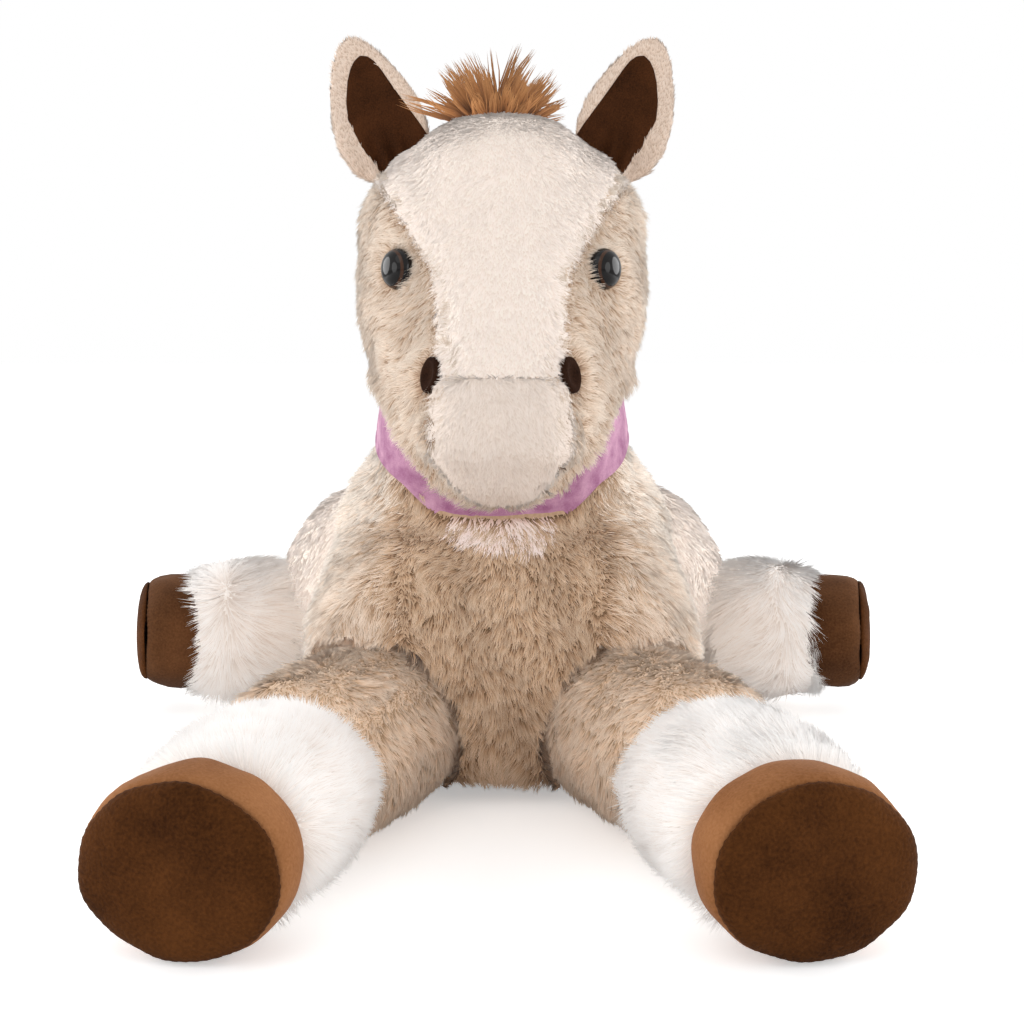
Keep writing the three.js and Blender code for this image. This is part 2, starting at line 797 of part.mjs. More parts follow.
function addTorso() {
  const openings = sides.flatMap(({ side }) => {
    const shoulder = shoulderPlace(side);
    const leg = upperLimbGeometry(side, swingGap);
    return [
      solidOf(ribbonGeometry(jointGap)),
      solidOf(haunchGeometry(side, jointGap)),
      solidOf(ballGeometry(frontLegRadius + jointGap, shoulder)),
      ...sweep(leg, shoulder, zAxis, -side * frontLegIn, side * frontLegOut),
    ];
  });
  const tail = stuffedForm(tailForm, jointGap);
  const wag = sweep(tail, tailRoot, zAxis, -tailSwing, tailSwing);
  addPiece('torso', cut(solidOf(stuffedForm(torsoForm)), floor, ...openings, ...wag), fabrics.beigePile);
}

function addNeck() {
  const torso = solidOf(stuffedForm(torsoForm, seamGap));
  addPiece('neck', cut(solidOf(neckGeometry()), torso), fabrics.beigePile);
  const grownNeck = solidOf(neckGeometry(seamGap));
  addPiece('collar_ribbon', solidOf(ribbonGeometry()), fabrics.ribbonVelvet);
  const crest = solidOf(stuffedForm(crestForm(maneNeckSpine())));
  const ribbon = solidOf(ribbonGeometry(seamGap));
  addPiece('mane_neck', cut(crest, grownNeck, torso, ribbon), fabrics.caramelFur);
}

function addHead() {
  const nods = [
    solidOf(ballGeometry(neckRadius + neckGap, neckBall)),
    ...sweep(collarKeepOut(neckGap), neckBall, xAxis, -headDrop, headLift),
  ];
  const openings = [
    ...nods,
    ...sides.flatMap(({ side }) => [
      ...earSweep(side),
      solidOf(eyeGeometry(side, seamGap)),
      solidOf(washerPocket(side)),
      solidOf(nostrilGeometry(side, seamGap)),
    ]),
  ];
  const whole = solidOf(stuffedForm(headForm));
  const topZ = skullZ + skullHalfDepth + overrun;
  const recess = facePrism(0, topZ, 0).subtract(solidOf(stuffedForm(headForm, -panelThickness)));
  addPiece('head', cut(whole, recess, ...openings), fabrics.beigePile);

  const skin = whole.subtract(solidOf(stuffedForm(headForm, seamGap - panelThickness)));
  const seam = noseSeamZ + seamGap;
  const facePanel = skin.intersect(facePrism(seam, topZ - seamGap, seamGap));
  const muzzlePanel = skin.intersect(facePrism(0, noseSeamZ, seamGap));
  addPiece('face_panel', cut(facePanel, ...openings), fabrics.creamPlush);
  addPiece('muzzle_panel', cut(muzzlePanel, ...openings), fabrics.creamPlush);

  const grownHead = solidOf(stuffedForm(headForm, seamGap));
  const forelock = solidOf(stuffedForm(forelockForm));
  addPiece('forelock', cut(forelock, grownHead), fabrics.caramelFur);
  const crest = solidOf(stuffedForm(crestForm(maneHeadSpine())));
  const grownForelock = solidOf(stuffedForm(forelockForm, seamGap));
  addPiece('mane_head', cut(crest, grownHead, grownForelock, ...nods), fabrics.caramelFur);
}

function addFaceTrims() {
  for (const { name, side } of sides) {
    addPiece(`eye_${name}`, solidOf(eyeGeometry(side)), fabrics.eyePlastic);
    addPiece(`eye_washer_${name}`, solidOf(washerGeometry(side)), fabrics.washerPlastic);
    addPiece(`nostril_${name}`, solidOf(nostrilGeometry(side)), fabrics.nostrilFelt);
    const ear = cut(solidOf(earGeometry(side)), solidOf(liningGeometry(side, seamGap)));
    addPiece(`ear_${name}`, ear, fabrics.creamPlush);
    addPiece(`ear_lining_${name}`, solidOf(liningGeometry(side)), fabrics.earVelvet);
  }
}

function addHoof(name, leg) {
  addPiece(`${name}_hoof_band`, cut(solidOf(hoofBandGeometry(leg)), floor), fabrics.hoofSuede);
  addPiece(`${name}_sole`, cut(solidOf(soleGeometry(leg)), floor), fabrics.soleSuede);
}

function addLegs() {
  for (const { name, side } of sides) {
    const { foot } = frontLeg(side);
    const cuff = solidOf(cuffGeometry(foot, -frontCuffRoot, frontCuffHalfHeight));
    const grownLeg = solidOf(upperLegGeometry(side, seamGap));
    addPiece(`front_leg_${name}`, cut(solidOf(upperLegGeometry(side)), floor), fabrics.beigePile);
    addPiece(`front_cuff_${name}`, cut(cuff, grownLeg, floor), fabrics.whiteFur);
    addHoof(`front_${name}`, foot);

    const leg = hindLeg(side);
    const cuffStart = hindLegLength * hindCuffRootShare;
    const hindCuff = solidOf(cuffGeometry(leg, cuffStart, hindCuffHalfHeight));
    const grownHaunch = solidOf(haunchGeometry(side, seamGap));
    addPiece(`haunch_${name}`, cut(solidOf(haunchGeometry(side)), floor), fabrics.creamPlush);
    addPiece(`hind_cuff_${name}`, cut(hindCuff, grownHaunch, floor), fabrics.whiteFur);
    addHoof(`hind_${name}`, leg);
  }
}

function addTail() {
  addPiece('tail', cut(solidOf(stuffedForm(tailForm)), floor), fabrics.caramelFur);
}

addTorso();
addNeck();
addHead();
addFaceTrims();
addLegs();
addTail();

export default horse;
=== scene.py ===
# A plush horse lying on its belly: stuffed skins, grown fur and sewn trims in a plain studio.
import math

import bpy
import numpy as np
from mathutils import Matrix, Vector
from mathutils.bvhtree import BVHTree
from mathutils.kdtree import KDTree


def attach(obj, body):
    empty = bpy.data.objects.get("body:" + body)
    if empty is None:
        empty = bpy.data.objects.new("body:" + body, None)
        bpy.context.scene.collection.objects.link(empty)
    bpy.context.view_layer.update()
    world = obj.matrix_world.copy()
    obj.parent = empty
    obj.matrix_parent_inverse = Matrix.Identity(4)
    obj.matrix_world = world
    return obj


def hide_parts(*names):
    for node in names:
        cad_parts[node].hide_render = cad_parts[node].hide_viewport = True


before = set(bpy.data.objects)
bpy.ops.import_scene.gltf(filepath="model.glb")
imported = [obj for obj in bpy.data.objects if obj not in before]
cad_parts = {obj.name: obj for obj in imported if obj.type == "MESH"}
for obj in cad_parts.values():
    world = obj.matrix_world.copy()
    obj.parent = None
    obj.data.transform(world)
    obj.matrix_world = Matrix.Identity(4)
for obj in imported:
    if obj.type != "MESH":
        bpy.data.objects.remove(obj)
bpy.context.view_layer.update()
scene = bpy.context.scene
mm = 0.001

# ---- studio

studio = {
    "cameraPlace": (5, -686, 210),  # mm
    "cameraDrop": 6.72,  # degrees below level
    "lens": 46.9,
    "floorColor": (0.93, 0.93, 0.93, 1),
    "floorLift": 0.39,  # seen by the camera only
    "worldStrength": 0.66,
    "keyWatts": 2.5,
    "sideWatts": 4.6,
    "flankWatts": 8.3,
    "backWatts": 1.5,
}


def deselectAll():
    if bpy.context.object and bpy.context.object.mode != "OBJECT":
        bpy.ops.object.mode_set(mode="OBJECT")
    bpy.ops.object.select_all(action="DESELECT")


def activate(piece):
    deselectAll()
    piece.select_set(True)
    bpy.context.view_layer.objects.active = piece


def newMaterial(name):
    material = bpy.data.materials.new(name)
    material.use_nodes = True
    nodes = material.node_tree.nodes
    return material, nodes, material.node_tree.links, nodes["Principled BSDF"]


def addLamp(name, place, target, size, watts):
    bpy.ops.object.light_add(type="AREA", location=Vector(place) * mm)
    lamp = bpy.context.object
    lamp.name = name
    lamp.data.shape = "DISK"
    lamp.data.size = size * mm
    lamp.data.energy = watts
    aim = (Vector(target) - Vector(place)).to_track_quat("-Z", "Y")
    lamp.rotation_euler = aim.to_euler()


def buildStudio():
    bpy.ops.object.camera_add(
        location=Vector(studio["cameraPlace"]) * mm,
        rotation=(math.radians(90 - studio["cameraDrop"]), 0, 0))
    camera = bpy.context.object
    camera.data.lens = studio["lens"]
    camera.data.sensor_width = 36
    scene.camera = camera
    scene.view_settings.view_transform = "Standard"

    addLamp("keyLamp", (-500, -900, 1300), (0, 0, 120), 1100, studio["keyWatts"])
    addLamp("leftLamp", (1150, -800, 380), (0, 0, 100), 900, studio["sideWatts"])
    addLamp("rightLamp", (-1150, -800, 380), (0, 0, 100), 900, studio["sideWatts"] * 1.05)
    addLamp("leftFlankLamp", (1300, 350, 520), (0, 0, 100), 900, studio["flankWatts"])
    addLamp("rightFlankLamp", (-1300, 350, 520), (0, 0, 100), 900, studio["flankWatts"])
    addLamp("backLamp", (200, 1100, 1000), (0, 0, 150), 900, studio["backWatts"])

    world = bpy.data.worlds.new("softRoom")
    scene.world = world
    world.use_nodes = True
    nodes, links = world.node_tree.nodes, world.node_tree.links
    background = nodes["Background"]
    background.inputs["Color"].default_value = (1, 1, 1, 1)
    path = nodes.new("ShaderNodeLightPath")
    seen = nodes.new("ShaderNodeMath")
    seen.operation = "MAXIMUM"
    seenClear = nodes.new("ShaderNodeMath")
    seenClear.operation = "MAXIMUM"
    strength = nodes.new("ShaderNodeMapRange")
    strength.inputs["To Min"].default_value = studio["worldStrength"]
    strength.inputs["To Max"].default_value = 1
    links.new(path.outputs["Is Camera Ray"], seen.inputs[0])
    links.new(path.outputs["Is Glossy Ray"], seen.inputs[1])
    links.new(seen.outputs[0], seenClear.inputs[0])
    links.new(path.outputs["Is Transmission Ray"], seenClear.inputs[1])
    links.new(seenClear.outputs[0], strength.inputs["Value"])
    links.new(strength.outputs["Result"], background.inputs["Strength"])

    bpy.ops.mesh.primitive_plane_add(size=60, location=(0, 0, 0))
    floor = bpy.context.object
    floor.name = "studioFloor"
    material, nodes, links, shader = newMaterial("floorPaper")
    shader.inputs["Base Color"].default_value = studio["floorColor"]
    shader.inputs["Roughness"].default_value = 0.9
    shader.inputs["Emission Color"].default_value = (1, 1, 1, 1)
    path = nodes.new("ShaderNodeLightPath")
    lift = nodes.new("ShaderNodeMath")
    lift.operation = "MULTIPLY"
    lift.inputs[1].default_value = studio["floorLift"]
    links.new(path.outputs["Is Camera Ray"], lift.inputs[0])
    links.new(lift.outputs[0], shader.inputs["Emission Strength"])
    floor.data.materials.append(material)
    print("studio ready")


# ---- materials

def buildFurGroup():
    # Colour of a strand: u picks the strand's tone, v runs from its root to its tip. The dark roots are partly the
    # pile's own colour and partly painted shade, for the shadow deep between the strands, which cast none
    group = bpy.data.node_groups.new("furStrand", "ShaderNodeTree")
    for name in ("Root Color", "Body Color", "Tip Color"):
        group.interface.new_socket(name=name, in_out="INPUT", socket_type="NodeSocketColor")
    group.interface.new_socket(name="Shade Spread", in_out="INPUT", socket_type="NodeSocketFloat")
    group.interface.new_socket(name="UV", in_out="INPUT", socket_type="NodeSocketVector")
    group.interface.new_socket(name="Color", in_out="OUTPUT", socket_type="NodeSocketColor")
    nodes, links = group.nodes, group.links
    inside = nodes.new("NodeGroupInput")
    outside = nodes.new("NodeGroupOutput")
    split = nodes.new("ShaderNodeSeparateXYZ")
    links.new(inside.outputs["UV"], split.inputs[0])
    low = nodes.new("ShaderNodeMapRange")
    low.interpolation_type = "SMOOTHSTEP"
    low.inputs["From Max"].default_value = 0.5
    links.new(split.outputs["Y"], low.inputs["Value"])
    high = nodes.new("ShaderNodeMapRange")
    high.interpolation_type = "SMOOTHSTEP"
    high.inputs["From Min"].default_value = 0.35
    links.new(split.outputs["Y"], high.inputs["Value"])
    rootMix = nodes.new("ShaderNodeMix")
    rootMix.data_type = "RGBA"
    links.new(low.outputs["Result"], rootMix.inputs["Factor"])
    links.new(inside.outputs["Root Color"], rootMix.inputs["A"])
    links.new(inside.outputs["Body Color"], rootMix.inputs["B"])
    tipMix = nodes.new("ShaderNodeMix")
    tipMix.data_type = "RGBA"
    links.new(high.outputs["Result"], tipMix.inputs["Factor"])
    links.new(rootMix.outputs["Result"], tipMix.inputs["A"])
    links.new(inside.outputs["Tip Color"], tipMix.inputs["B"])
    centred = nodes.new("ShaderNodeMath")
    centred.operation = "SUBTRACT"
    centred.inputs[1].default_value = 0.5
    links.new(split.outputs["X"], centred.inputs[0])
    value = nodes.new("ShaderNodeMath")
    value.operation = "MULTIPLY_ADD"
    value.inputs[2].default_value = 1
    links.new(centred.outputs[0], value.inputs[0])
    links.new(inside.outputs["Shade Spread"], value.inputs[1])
    shaded = nodes.new("ShaderNodeHueSaturation")
    links.new(value.outputs[0], shaded.inputs["Value"])
    links.new(tipMix.outputs["Result"], shaded.inputs["Color"])
    links.new(shaded.outputs["Color"], outside.inputs["Color"])
    return group


def buildNapGroup():
    # Cloth with a nap: soft patches of light and dark, fine grain, and a height for bump
    group = bpy.data.node_groups.new("clothNap", "ShaderNodeTree")
    for name in ("Dark Color", "Light Color"):
        group.interface.new_socket(name=name, in_out="INPUT", socket_type="NodeSocketColor")
    for name in ("Patch Scale", "Grain Scale", "Grain Share"):
        group.interface.new_socket(name=name, in_out="INPUT", socket_type="NodeSocketFloat")
    group.interface.new_socket(name="Color", in_out="OUTPUT", socket_type="NodeSocketColor")
    group.interface.new_socket(name="Height", in_out="OUTPUT", socket_type="NodeSocketFloat")
    nodes, links = group.nodes, group.links
    inside = nodes.new("NodeGroupInput")
    outside = nodes.new("NodeGroupOutput")
    coordinates = nodes.new("ShaderNodeTexCoord")
    patch = nodes.new("ShaderNodeTexNoise")
    patch.inputs["Detail"].default_value = 3
    grain = nodes.new("ShaderNodeTexNoise")
    grain.inputs["Detail"].default_value = 2
    for noise, socket in ((patch, "Patch Scale"), (grain, "Grain Scale")):
        links.new(coordinates.outputs["Object"], noise.inputs["Vector"])
        links.new(inside.outputs[socket], noise.inputs["Scale"])
    both = nodes.new("ShaderNodeMix")
    links.new(inside.outputs["Grain Share"], both.inputs["Factor"])
    links.new(patch.outputs["Fac"], both.inputs["A"])
    links.new(grain.outputs["Fac"], both.inputs["B"])
    spread = nodes.new("ShaderNodeMapRange")
    spread.inputs["From Min"].default_value = 0.32
    spread.inputs["From Max"].default_value = 0.68
    links.new(both.outputs["Result"], spread.inputs["Value"])
    color = nodes.new("ShaderNodeMix")
    color.data_type = "RGBA"
    links.new(spread.outputs["Result"], color.inputs["Factor"])
    links.new(inside.outputs["Dark Color"], color.inputs["A"])
    links.new(inside.outputs["Light Color"], color.inputs["B"])
    links.new(color.outputs["Result"], outside.inputs["Color"])
    links.new(grain.outputs["Fac"], outside.inputs["Height"])
    return group


def furMaterial(name, look):
    material, nodes, links, shader = newMaterial(name)
    strand = nodes.new("ShaderNodeGroup")
    strand.node_tree = furGroup
    strand.inputs["Root Color"].default_value = (*look["root"], 1)
    strand.inputs["Body Color"].default_value = (*look["body"], 1)
    strand.inputs["Tip Color"].default_value = (*look["tip"], 1)
    strand.inputs["Shade Spread"].default_value = look["spread"]
    chart = nodes.new("ShaderNodeUVMap")
    chart.uv_map = "OFBake"
    links.new(chart.outputs["UV"], strand.inputs["UV"])
    links.new(strand.outputs["Color"], shader.inputs["Base Color"])
    shader.inputs["Roughness"].default_value = look["roughness"]
    shader.inputs["Specular IOR Level"].default_value = 0.25
    shader.inputs["Sheen Weight"].default_value = look.get("sheen", 0.1)
    shader.inputs["Sheen Roughness"].default_value = 0.5
    return material


def napMaterial(name, look):
    material, nodes, links, shader = newMaterial(name)
    nap = nodes.new("ShaderNodeGroup")
    nap.node_tree = napGroup
    nap.inputs["Dark Color"].default_value = (*look["dark"], 1)
    nap.inputs["Light Color"].default_value = (*look["light"], 1)
    nap.inputs["Patch Scale"].default_value = look["patchScale"]
    nap.inputs["Grain Scale"].default_value = look["grainScale"]
    nap.inputs["Grain Share"].default_value = look["grainShare"]
    bump = nodes.new("ShaderNodeBump")
    bump.inputs["Distance"].default_value = look["bump"] * mm
    links.new(nap.outputs["Height"], bump.inputs["Height"])
    links.new(bump.outputs["Normal"], shader.inputs["Normal"])
    links.new(nap.outputs["Color"], shader.inputs["Base Color"])
    shader.inputs["Roughness"].default_value = look["roughness"]
    shader.inputs["Specular IOR Level"].default_value = 0.08
    shader.inputs["Sheen Weight"].default_value = look.get("sheen", 0)
    shader.inputs["Sheen Roughness"].default_value = 0.4
    return material


furGroup = buildFurGroup()
napGroup = buildNapGroup()

# Each look's root colour is partly the pile's own and partly painted shade: the pile casts no shadow, so the shade deep
# in it is painted into the roots
furLooks = {
    "chestFur": {"root": (0.10, 0.048, 0.020), "body": (0.45, 0.275, 0.16), "tip": (0.73, 0.555, 0.41),
                 "spread": 0.55, "roughness": 0.75},
    # sideFur and flankFur are paler partly as painted light, the brightness the flanks catch at grazing angles;
    # flankFur also serves the rump
    "sideFur": {"root": (0.36, 0.225, 0.135), "body": (0.70, 0.515, 0.38), "tip": (0.89, 0.765, 0.65),
                "spread": 0.28, "roughness": 0.75},
    "flankFur": {"root": (0.58, 0.43, 0.33), "body": (0.87, 0.74, 0.64), "tip": (0.95, 0.88, 0.82),
                 "spread": 0.15, "roughness": 0.75},
    "backFur": {"root": (0.46, 0.32, 0.22), "body": (0.80, 0.645, 0.52), "tip": (0.93, 0.84, 0.745),
                "spread": 0.2, "roughness": 0.75},
    "cheekFur": {"root": (0.25, 0.14, 0.072), "body": (0.575, 0.42, 0.305), "tip": (0.765, 0.665, 0.565),
                 "spread": 0.3, "roughness": 0.75},
    "seamFur": {"root": (0.36, 0.22, 0.13), "body": (0.68, 0.51, 0.38), "tip": (0.88, 0.77, 0.67),
                "spread": 0.2, "roughness": 0.75},
    "legFur": {"root": (0.38, 0.23, 0.125), "body": (0.755, 0.515, 0.35), "tip": (0.915, 0.735, 0.585),
               "spread": 0.35, "roughness": 0.75},
    "creamFur": {"root": (0.78, 0.65, 0.56), "body": (0.87, 0.75, 0.67), "tip": (0.92, 0.825, 0.76),
                 "spread": 0.08, "roughness": 0.8},
    "muzzleFur": {"root": (0.67, 0.555, 0.475), "body": (0.76, 0.65, 0.575), "tip": (0.80, 0.71, 0.64),
                  "spread": 0.06, "roughness": 0.8},
    "earFur": {"root": (0.50, 0.36, 0.27), "body": (0.71, 0.55, 0.44), "tip": (0.82, 0.70, 0.61),
               "spread": 0.05, "roughness": 0.8},
    "whiteFur": {"root": (0.76, 0.66, 0.59), "body": (0.91, 0.84, 0.79), "tip": (0.97, 0.95, 0.93),
                 "spread": 0.12, "roughness": 0.7, "sheen": 0.6},
    # painted shade: the darker pile in the mouth's corners and round the nostrils
    "creaseShadeFur": {"root": (0.10, 0.045, 0.020), "body": (0.38, 0.235, 0.145), "tip": (0.82, 0.67, 0.53),
                  "spread": 0.3, "roughness": 0.75},
    "caramelFur": {"root": (0.08, 0.028, 0.01), "body": (0.34, 0.135, 0.045), "tip": (0.54, 0.25, 0.095),
                   "spread": 0.5, "roughness": 0.6, "sheen": 0.0},
    "bibFur": {"root": (0.62, 0.42, 0.35), "body": (0.88, 0.70, 0.64), "tip": (0.95, 0.84, 0.80),
               "spread": 0.15, "roughness": 0.75},
}

napLooks = {
    "beigeSkin": {"dark": (0.38, 0.24, 0.14), "light": (0.60, 0.42, 0.29), "patchScale": 30, "grainScale": 700,
                  "grainShare": 0.4, "bump": 0.5, "roughness": 0.95},
    "legSkin": {"dark": (0.52, 0.36, 0.24), "light": (0.74, 0.56, 0.42), "patchScale": 30, "grainScale": 700,
                "grainShare": 0.4, "bump": 0.5, "roughness": 0.95},
    "cheekSkin": {"dark": (0.40, 0.27, 0.18), "light": (0.62, 0.47, 0.36), "patchScale": 30, "grainScale": 700,
                  "grainShare": 0.4, "bump": 0.5, "roughness": 0.95},
    "creamSkin": {"dark": (0.80, 0.69, 0.60), "light": (0.92, 0.83, 0.75), "patchScale": 30, "grainScale": 900,
                  "grainShare": 0.4, "bump": 0.4, "roughness": 0.95},
    # flankSkin: the paler skin under the flanks and back, partly painted light like their pile
    "flankSkin": {"dark": (0.66, 0.52, 0.41), "light": (0.84, 0.71, 0.60), "patchScale": 30, "grainScale": 700,
                  "grainShare": 0.4, "bump": 0.5, "roughness": 0.95},
    "muzzleSkin": {"dark": (0.66, 0.555, 0.48), "light": (0.77, 0.665, 0.585), "patchScale": 30, "grainScale": 900,
                   "grainShare": 0.4, "bump": 0.4, "roughness": 0.95},
    "earSkin": {"dark": (0.58, 0.44, 0.345), "light": (0.75, 0.61, 0.51), "patchScale": 30, "grainScale": 900,
                "grainShare": 0.4, "bump": 0.4, "roughness": 0.95},
    "whiteSkin": {"dark": (0.84, 0.76, 0.70), "light": (0.95, 0.90, 0.86), "patchScale": 30, "grainScale": 700,
                  "grainShare": 0.4, "bump": 0.5, "roughness": 0.95},
    "caramelSkin": {"dark": (0.18, 0.07, 0.024), "light": (0.40, 0.18, 0.07), "patchScale": 40, "grainScale": 700,
                    "grainShare": 0.4, "bump": 0.5, "roughness": 0.9},
    "hoofSuede": {"dark": (0.22, 0.085, 0.028), "light": (0.37, 0.165, 0.068), "patchScale": 28, "grainScale": 900,
                  "grainShare": 0.35, "bump": 0.25, "roughness": 0.85, "sheen": 0.05},
    "hindHoofSuede": {"dark": (0.045, 0.016, 0.005), "light": (0.15, 0.062, 0.024), "patchScale": 26,
                      "grainScale": 900, "grainShare": 0.35, "bump": 0.25, "roughness": 0.85, "sheen": 0.03},
    "soleSuede": {"dark": (0.032, 0.0095, 0.0017), "light": (0.107, 0.036, 0.0083), "patchScale": 32,
                  "grainScale": 800, "grainShare": 0.4, "bump": 0.5, "roughness": 0.9, "sheen": 0.02},
    "earVelvet": {"dark": (0.022, 0.007, 0.002), "light": (0.070, 0.023, 0.007), "patchScale": 60,
                  "grainScale": 1400, "grainShare": 0.5, "bump": 0.25, "roughness": 0.9, "sheen": 0.03},
    "ribbonVelvet": {"dark": (0.30, 0.11, 0.22), "light": (0.61, 0.345, 0.47), "patchScale": 110,
                     "grainScale": 1500, "grainShare": 0.2, "bump": 0.15, "roughness": 0.75, "sheen": 0.1},
    "nostrilFelt": {"dark": (0.012, 0.005, 0.003), "light": (0.035, 0.014, 0.007), "patchScale": 120,
                    "grainScale": 1500, "grainShare": 0.6, "bump": 0.3, "roughness": 0.95},
    "washerPlastic": {"dark": (0.55, 0.55, 0.53), "light": (0.68, 0.68, 0.66), "patchScale": 90,
                      "grainScale": 1200, "grainShare": 0.2, "bump": 0.02, "roughness": 0.5},
}

materials = {name: furMaterial(name, look) for name, look in furLooks.items()}
materials |= {name: napMaterial(name, look) for name, look in napLooks.items()}


def eyeMaterial(name, color, coat):
    material, nodes, links, shader = newMaterial(name)
    coordinates = nodes.new("ShaderNodeTexCoord")
    streak = nodes.new("ShaderNodeTexNoise")
    streak.inputs["Scale"].default_value = 400
    links.new(coordinates.outputs["Object"], streak.inputs["Vector"])
    mix = nodes.new("ShaderNodeMix")
    mix.data_type = "RGBA"
    links.new(streak.outputs["Fac"], mix.inputs["Factor"])
    mix.inputs["A"].default_value = (*(0.6 * c for c in color), 1)
    mix.inputs["B"].default_value = (*(1.4 * c for c in color), 1)
    links.new(mix.outputs["Result"], shader.inputs["Base Color"])
    shader.inputs["Roughness"].default_value = 0.06
    shader.inputs["Specular IOR Level"].default_value = 0.2
    shader.inputs["Coat Weight"].default_value = coat
    shader.inputs["Coat Roughness"].default_value = 0.03
    return material


materials["eyePupil"] = eyeMaterial("eyePupil", (0.004, 0.003, 0.003), 0.1)
materials["eyeIris"] = eyeMaterial("eyeIris", (0.045, 0.017, 0.007), 0.15)
print("materials ready")


# ---- soft skins

def coordinatesOf(piece):
    places = np.empty(len(piece.data.vertices) * 3)
    piece.data.vertices.foreach_get("co", places)
    return places.reshape(-1, 3)


def normalsOf(piece):
    normals = np.empty(len(piece.data.vertices) * 3)
    piece.data.vertices.foreach_get("normal", normals)
    return normals.reshape(-1, 3)


def setCoordinates(piece, places):
    piece.data.vertices.foreach_set("co", np.ascontiguousarray(places).ravel())
    piece.data.update()


def applyModifier(piece, kind, **values):
    activate(piece)
    modifier = piece.modifiers.new(kind, kind)
    for key, value in values.items():
        setattr(modifier, key, value)
    bpy.ops.object.modifier_apply(modifier=modifier.name)


def smoothOver(piece, turns, factor=0.5):
    applyModifier(piece, "SMOOTH", iterations=turns, factor=factor)


def copyOfNodes(name, nodeNames):
    deselectAll()
    copies = []
    for nodeName in nodeNames:
        copy = bpy.data.objects.new(name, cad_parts[nodeName].data.copy())
        scene.collection.objects.link(copy)
        copy.select_set(True)
        copies.append(copy)
    bpy.context.view_layer.objects.active = copies[0]
    if len(copies) > 1:
        bpy.ops.object.join()
    piece = bpy.context.view_layer.objects.active
    piece.name = name
    bpy.ops.object.mode_set(mode="EDIT")
    bpy.ops.mesh.select_all(action="SELECT")
    bpy.ops.mesh.remove_doubles(threshold=1e-5)
    bpy.ops.object.mode_set(mode="OBJECT")
    piece.data.materials.clear()
    return piece


def stuffOut(piece, cap, hold=None):
    # Cloth blown up a little from inside, as stuffing does, held where hold is true
    start = coordinatesOf(piece)
    activate(piece)
    cloth = piece.modifiers.new("stuffing", "CLOTH")
    cloth.settings.quality = 4
    cloth.settings.use_pressure = True
    cloth.settings.uniform_pressure_force = 4
    cloth.settings.effector_weights.gravity = 0
    cloth.point_cache.frame_start = 1
    cloth.point_cache.frame_end = 20
    for step in range(1, 21):
        scene.frame_set(step)
    bpy.ops.object.modifier_apply(modifier=cloth.name)
    scene.frame_set(1)
    moved = coordinatesOf(piece) - start
    reach = np.linalg.norm(moved, axis=1, keepdims=True)
    moved *= np.minimum(1, cap * mm / np.maximum(reach, 1e-9))
    if hold is not None:
        moved[hold(start)] = 0
    setCoordinates(piece, start + moved)


def keepOffFloor(piece, clearance=0.3):
    places = coordinatesOf(piece)
    places[:, 2] = np.maximum(places[:, 2], clearance * mm)
    setCoordinates(piece, places)


def softSkin(name, nodeNames, depth, voxel=5, turns=4, cap=3, hold=None):
    # depth is how far the skin lies under the outside of its pile
    piece = copyOfNodes(name, nodeNames)
    applyModifier(piece, "REMESH", mode="VOXEL", voxel_size=voxel * mm)
    smoothOver(piece, turns)
    places = coordinatesOf(piece)
    inward = depth(places) if callable(depth) else np.full(len(places), float(depth))
    held = hold(places) if hold else np.zeros(len(places), bool)
    inward += np.where(held, 0, cap * 0.6)
    setCoordinates(piece, places - normalsOf(piece) * inward[:, None] * mm)
    smoothOver(piece, 2)
    stuffOut(piece, cap, hold)
    smoothOver(piece, 2)
    keepOffFloor(piece)
    bpy.ops.object.shade_smooth()
    return piece


def dress(piece, body, materialName, replaced=()):
    if materialName:
        piece.data.materials.clear()
        piece.data.materials.append(materials[materialName])
    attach(piece, body)
    if replaced:
        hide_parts(*replaced)


# ---- fur

def waves(places, size, seed):
    # A smooth field from about -1 to 1 whose swells are size mm across
    rng = np.random.default_rng(seed)
    total = np.zeros(len(places))
    for _ in range(7):
        direction = rng.normal(size=3)
        direction *= 2 * math.pi / (size * mm) * rng.uniform(0.6, 1.5) / np.linalg.norm(direction)
        total += np.sin(places @ direction + rng.uniform(0, 2 * math.pi))
    return total / 2.6


def unit(vectors):
    return vectors / np.maximum(np.linalg.norm(vectors, axis=1, keepdims=True), 1e-9)


def unit2(vectors):
    return vectors / np.maximum(np.linalg.norm(vectors, axis=-1, keepdims=True), 1e-9)


def scatterOn(skin, perSquareMm, rng):
    skin.data.calc_loop_triangles()
    corners = np.empty(len(skin.data.loop_triangles) * 3, np.int64)
    skin.data.loop_triangles.foreach_get("vertices", corners)
    corners = corners.reshape(-1, 3)
    places, normals = coordinatesOf(skin), normalsOf(skin)
    a, b, c = (places[corners[:, i]] for i in range(3))
    areas = np.linalg.norm(np.cross(b - a, c - a), axis=1) / 2
    count = int(areas.sum() / mm ** 2 * perSquareMm)
    pick = rng.choice(len(areas), count, p=areas / areas.sum())
    u, v = rng.random(count), rng.random(count)
    over = u + v > 1
    u[over], v[over] = 1 - u[over], 1 - v[over]
    w = 1 - u - v
    spots = w[:, None] * a[pick] + u[:, None] * b[pick] + v[:, None] * c[pick]
    facing = sum(share[:, None] * normals[corners[pick, i]] for i, share in enumerate((w, u, v)))
    return spots, unit(facing)


def notBuried(spots, facing, others, reach):
    keep = np.ones(len(spots), bool)
    for other in others:
        for i in np.nonzero(keep)[0]:
            start = Vector(spots[i] - facing[i] * mm)
            if other.ray_cast(start, Vector(facing[i]), reach * mm)[0] is not None:
                keep[i] = False
    return keep


def treeOf(piece):
    depsgraph = bpy.context.evaluated_depsgraph_get()
    return BVHTree.FromObject(piece, depsgraph)


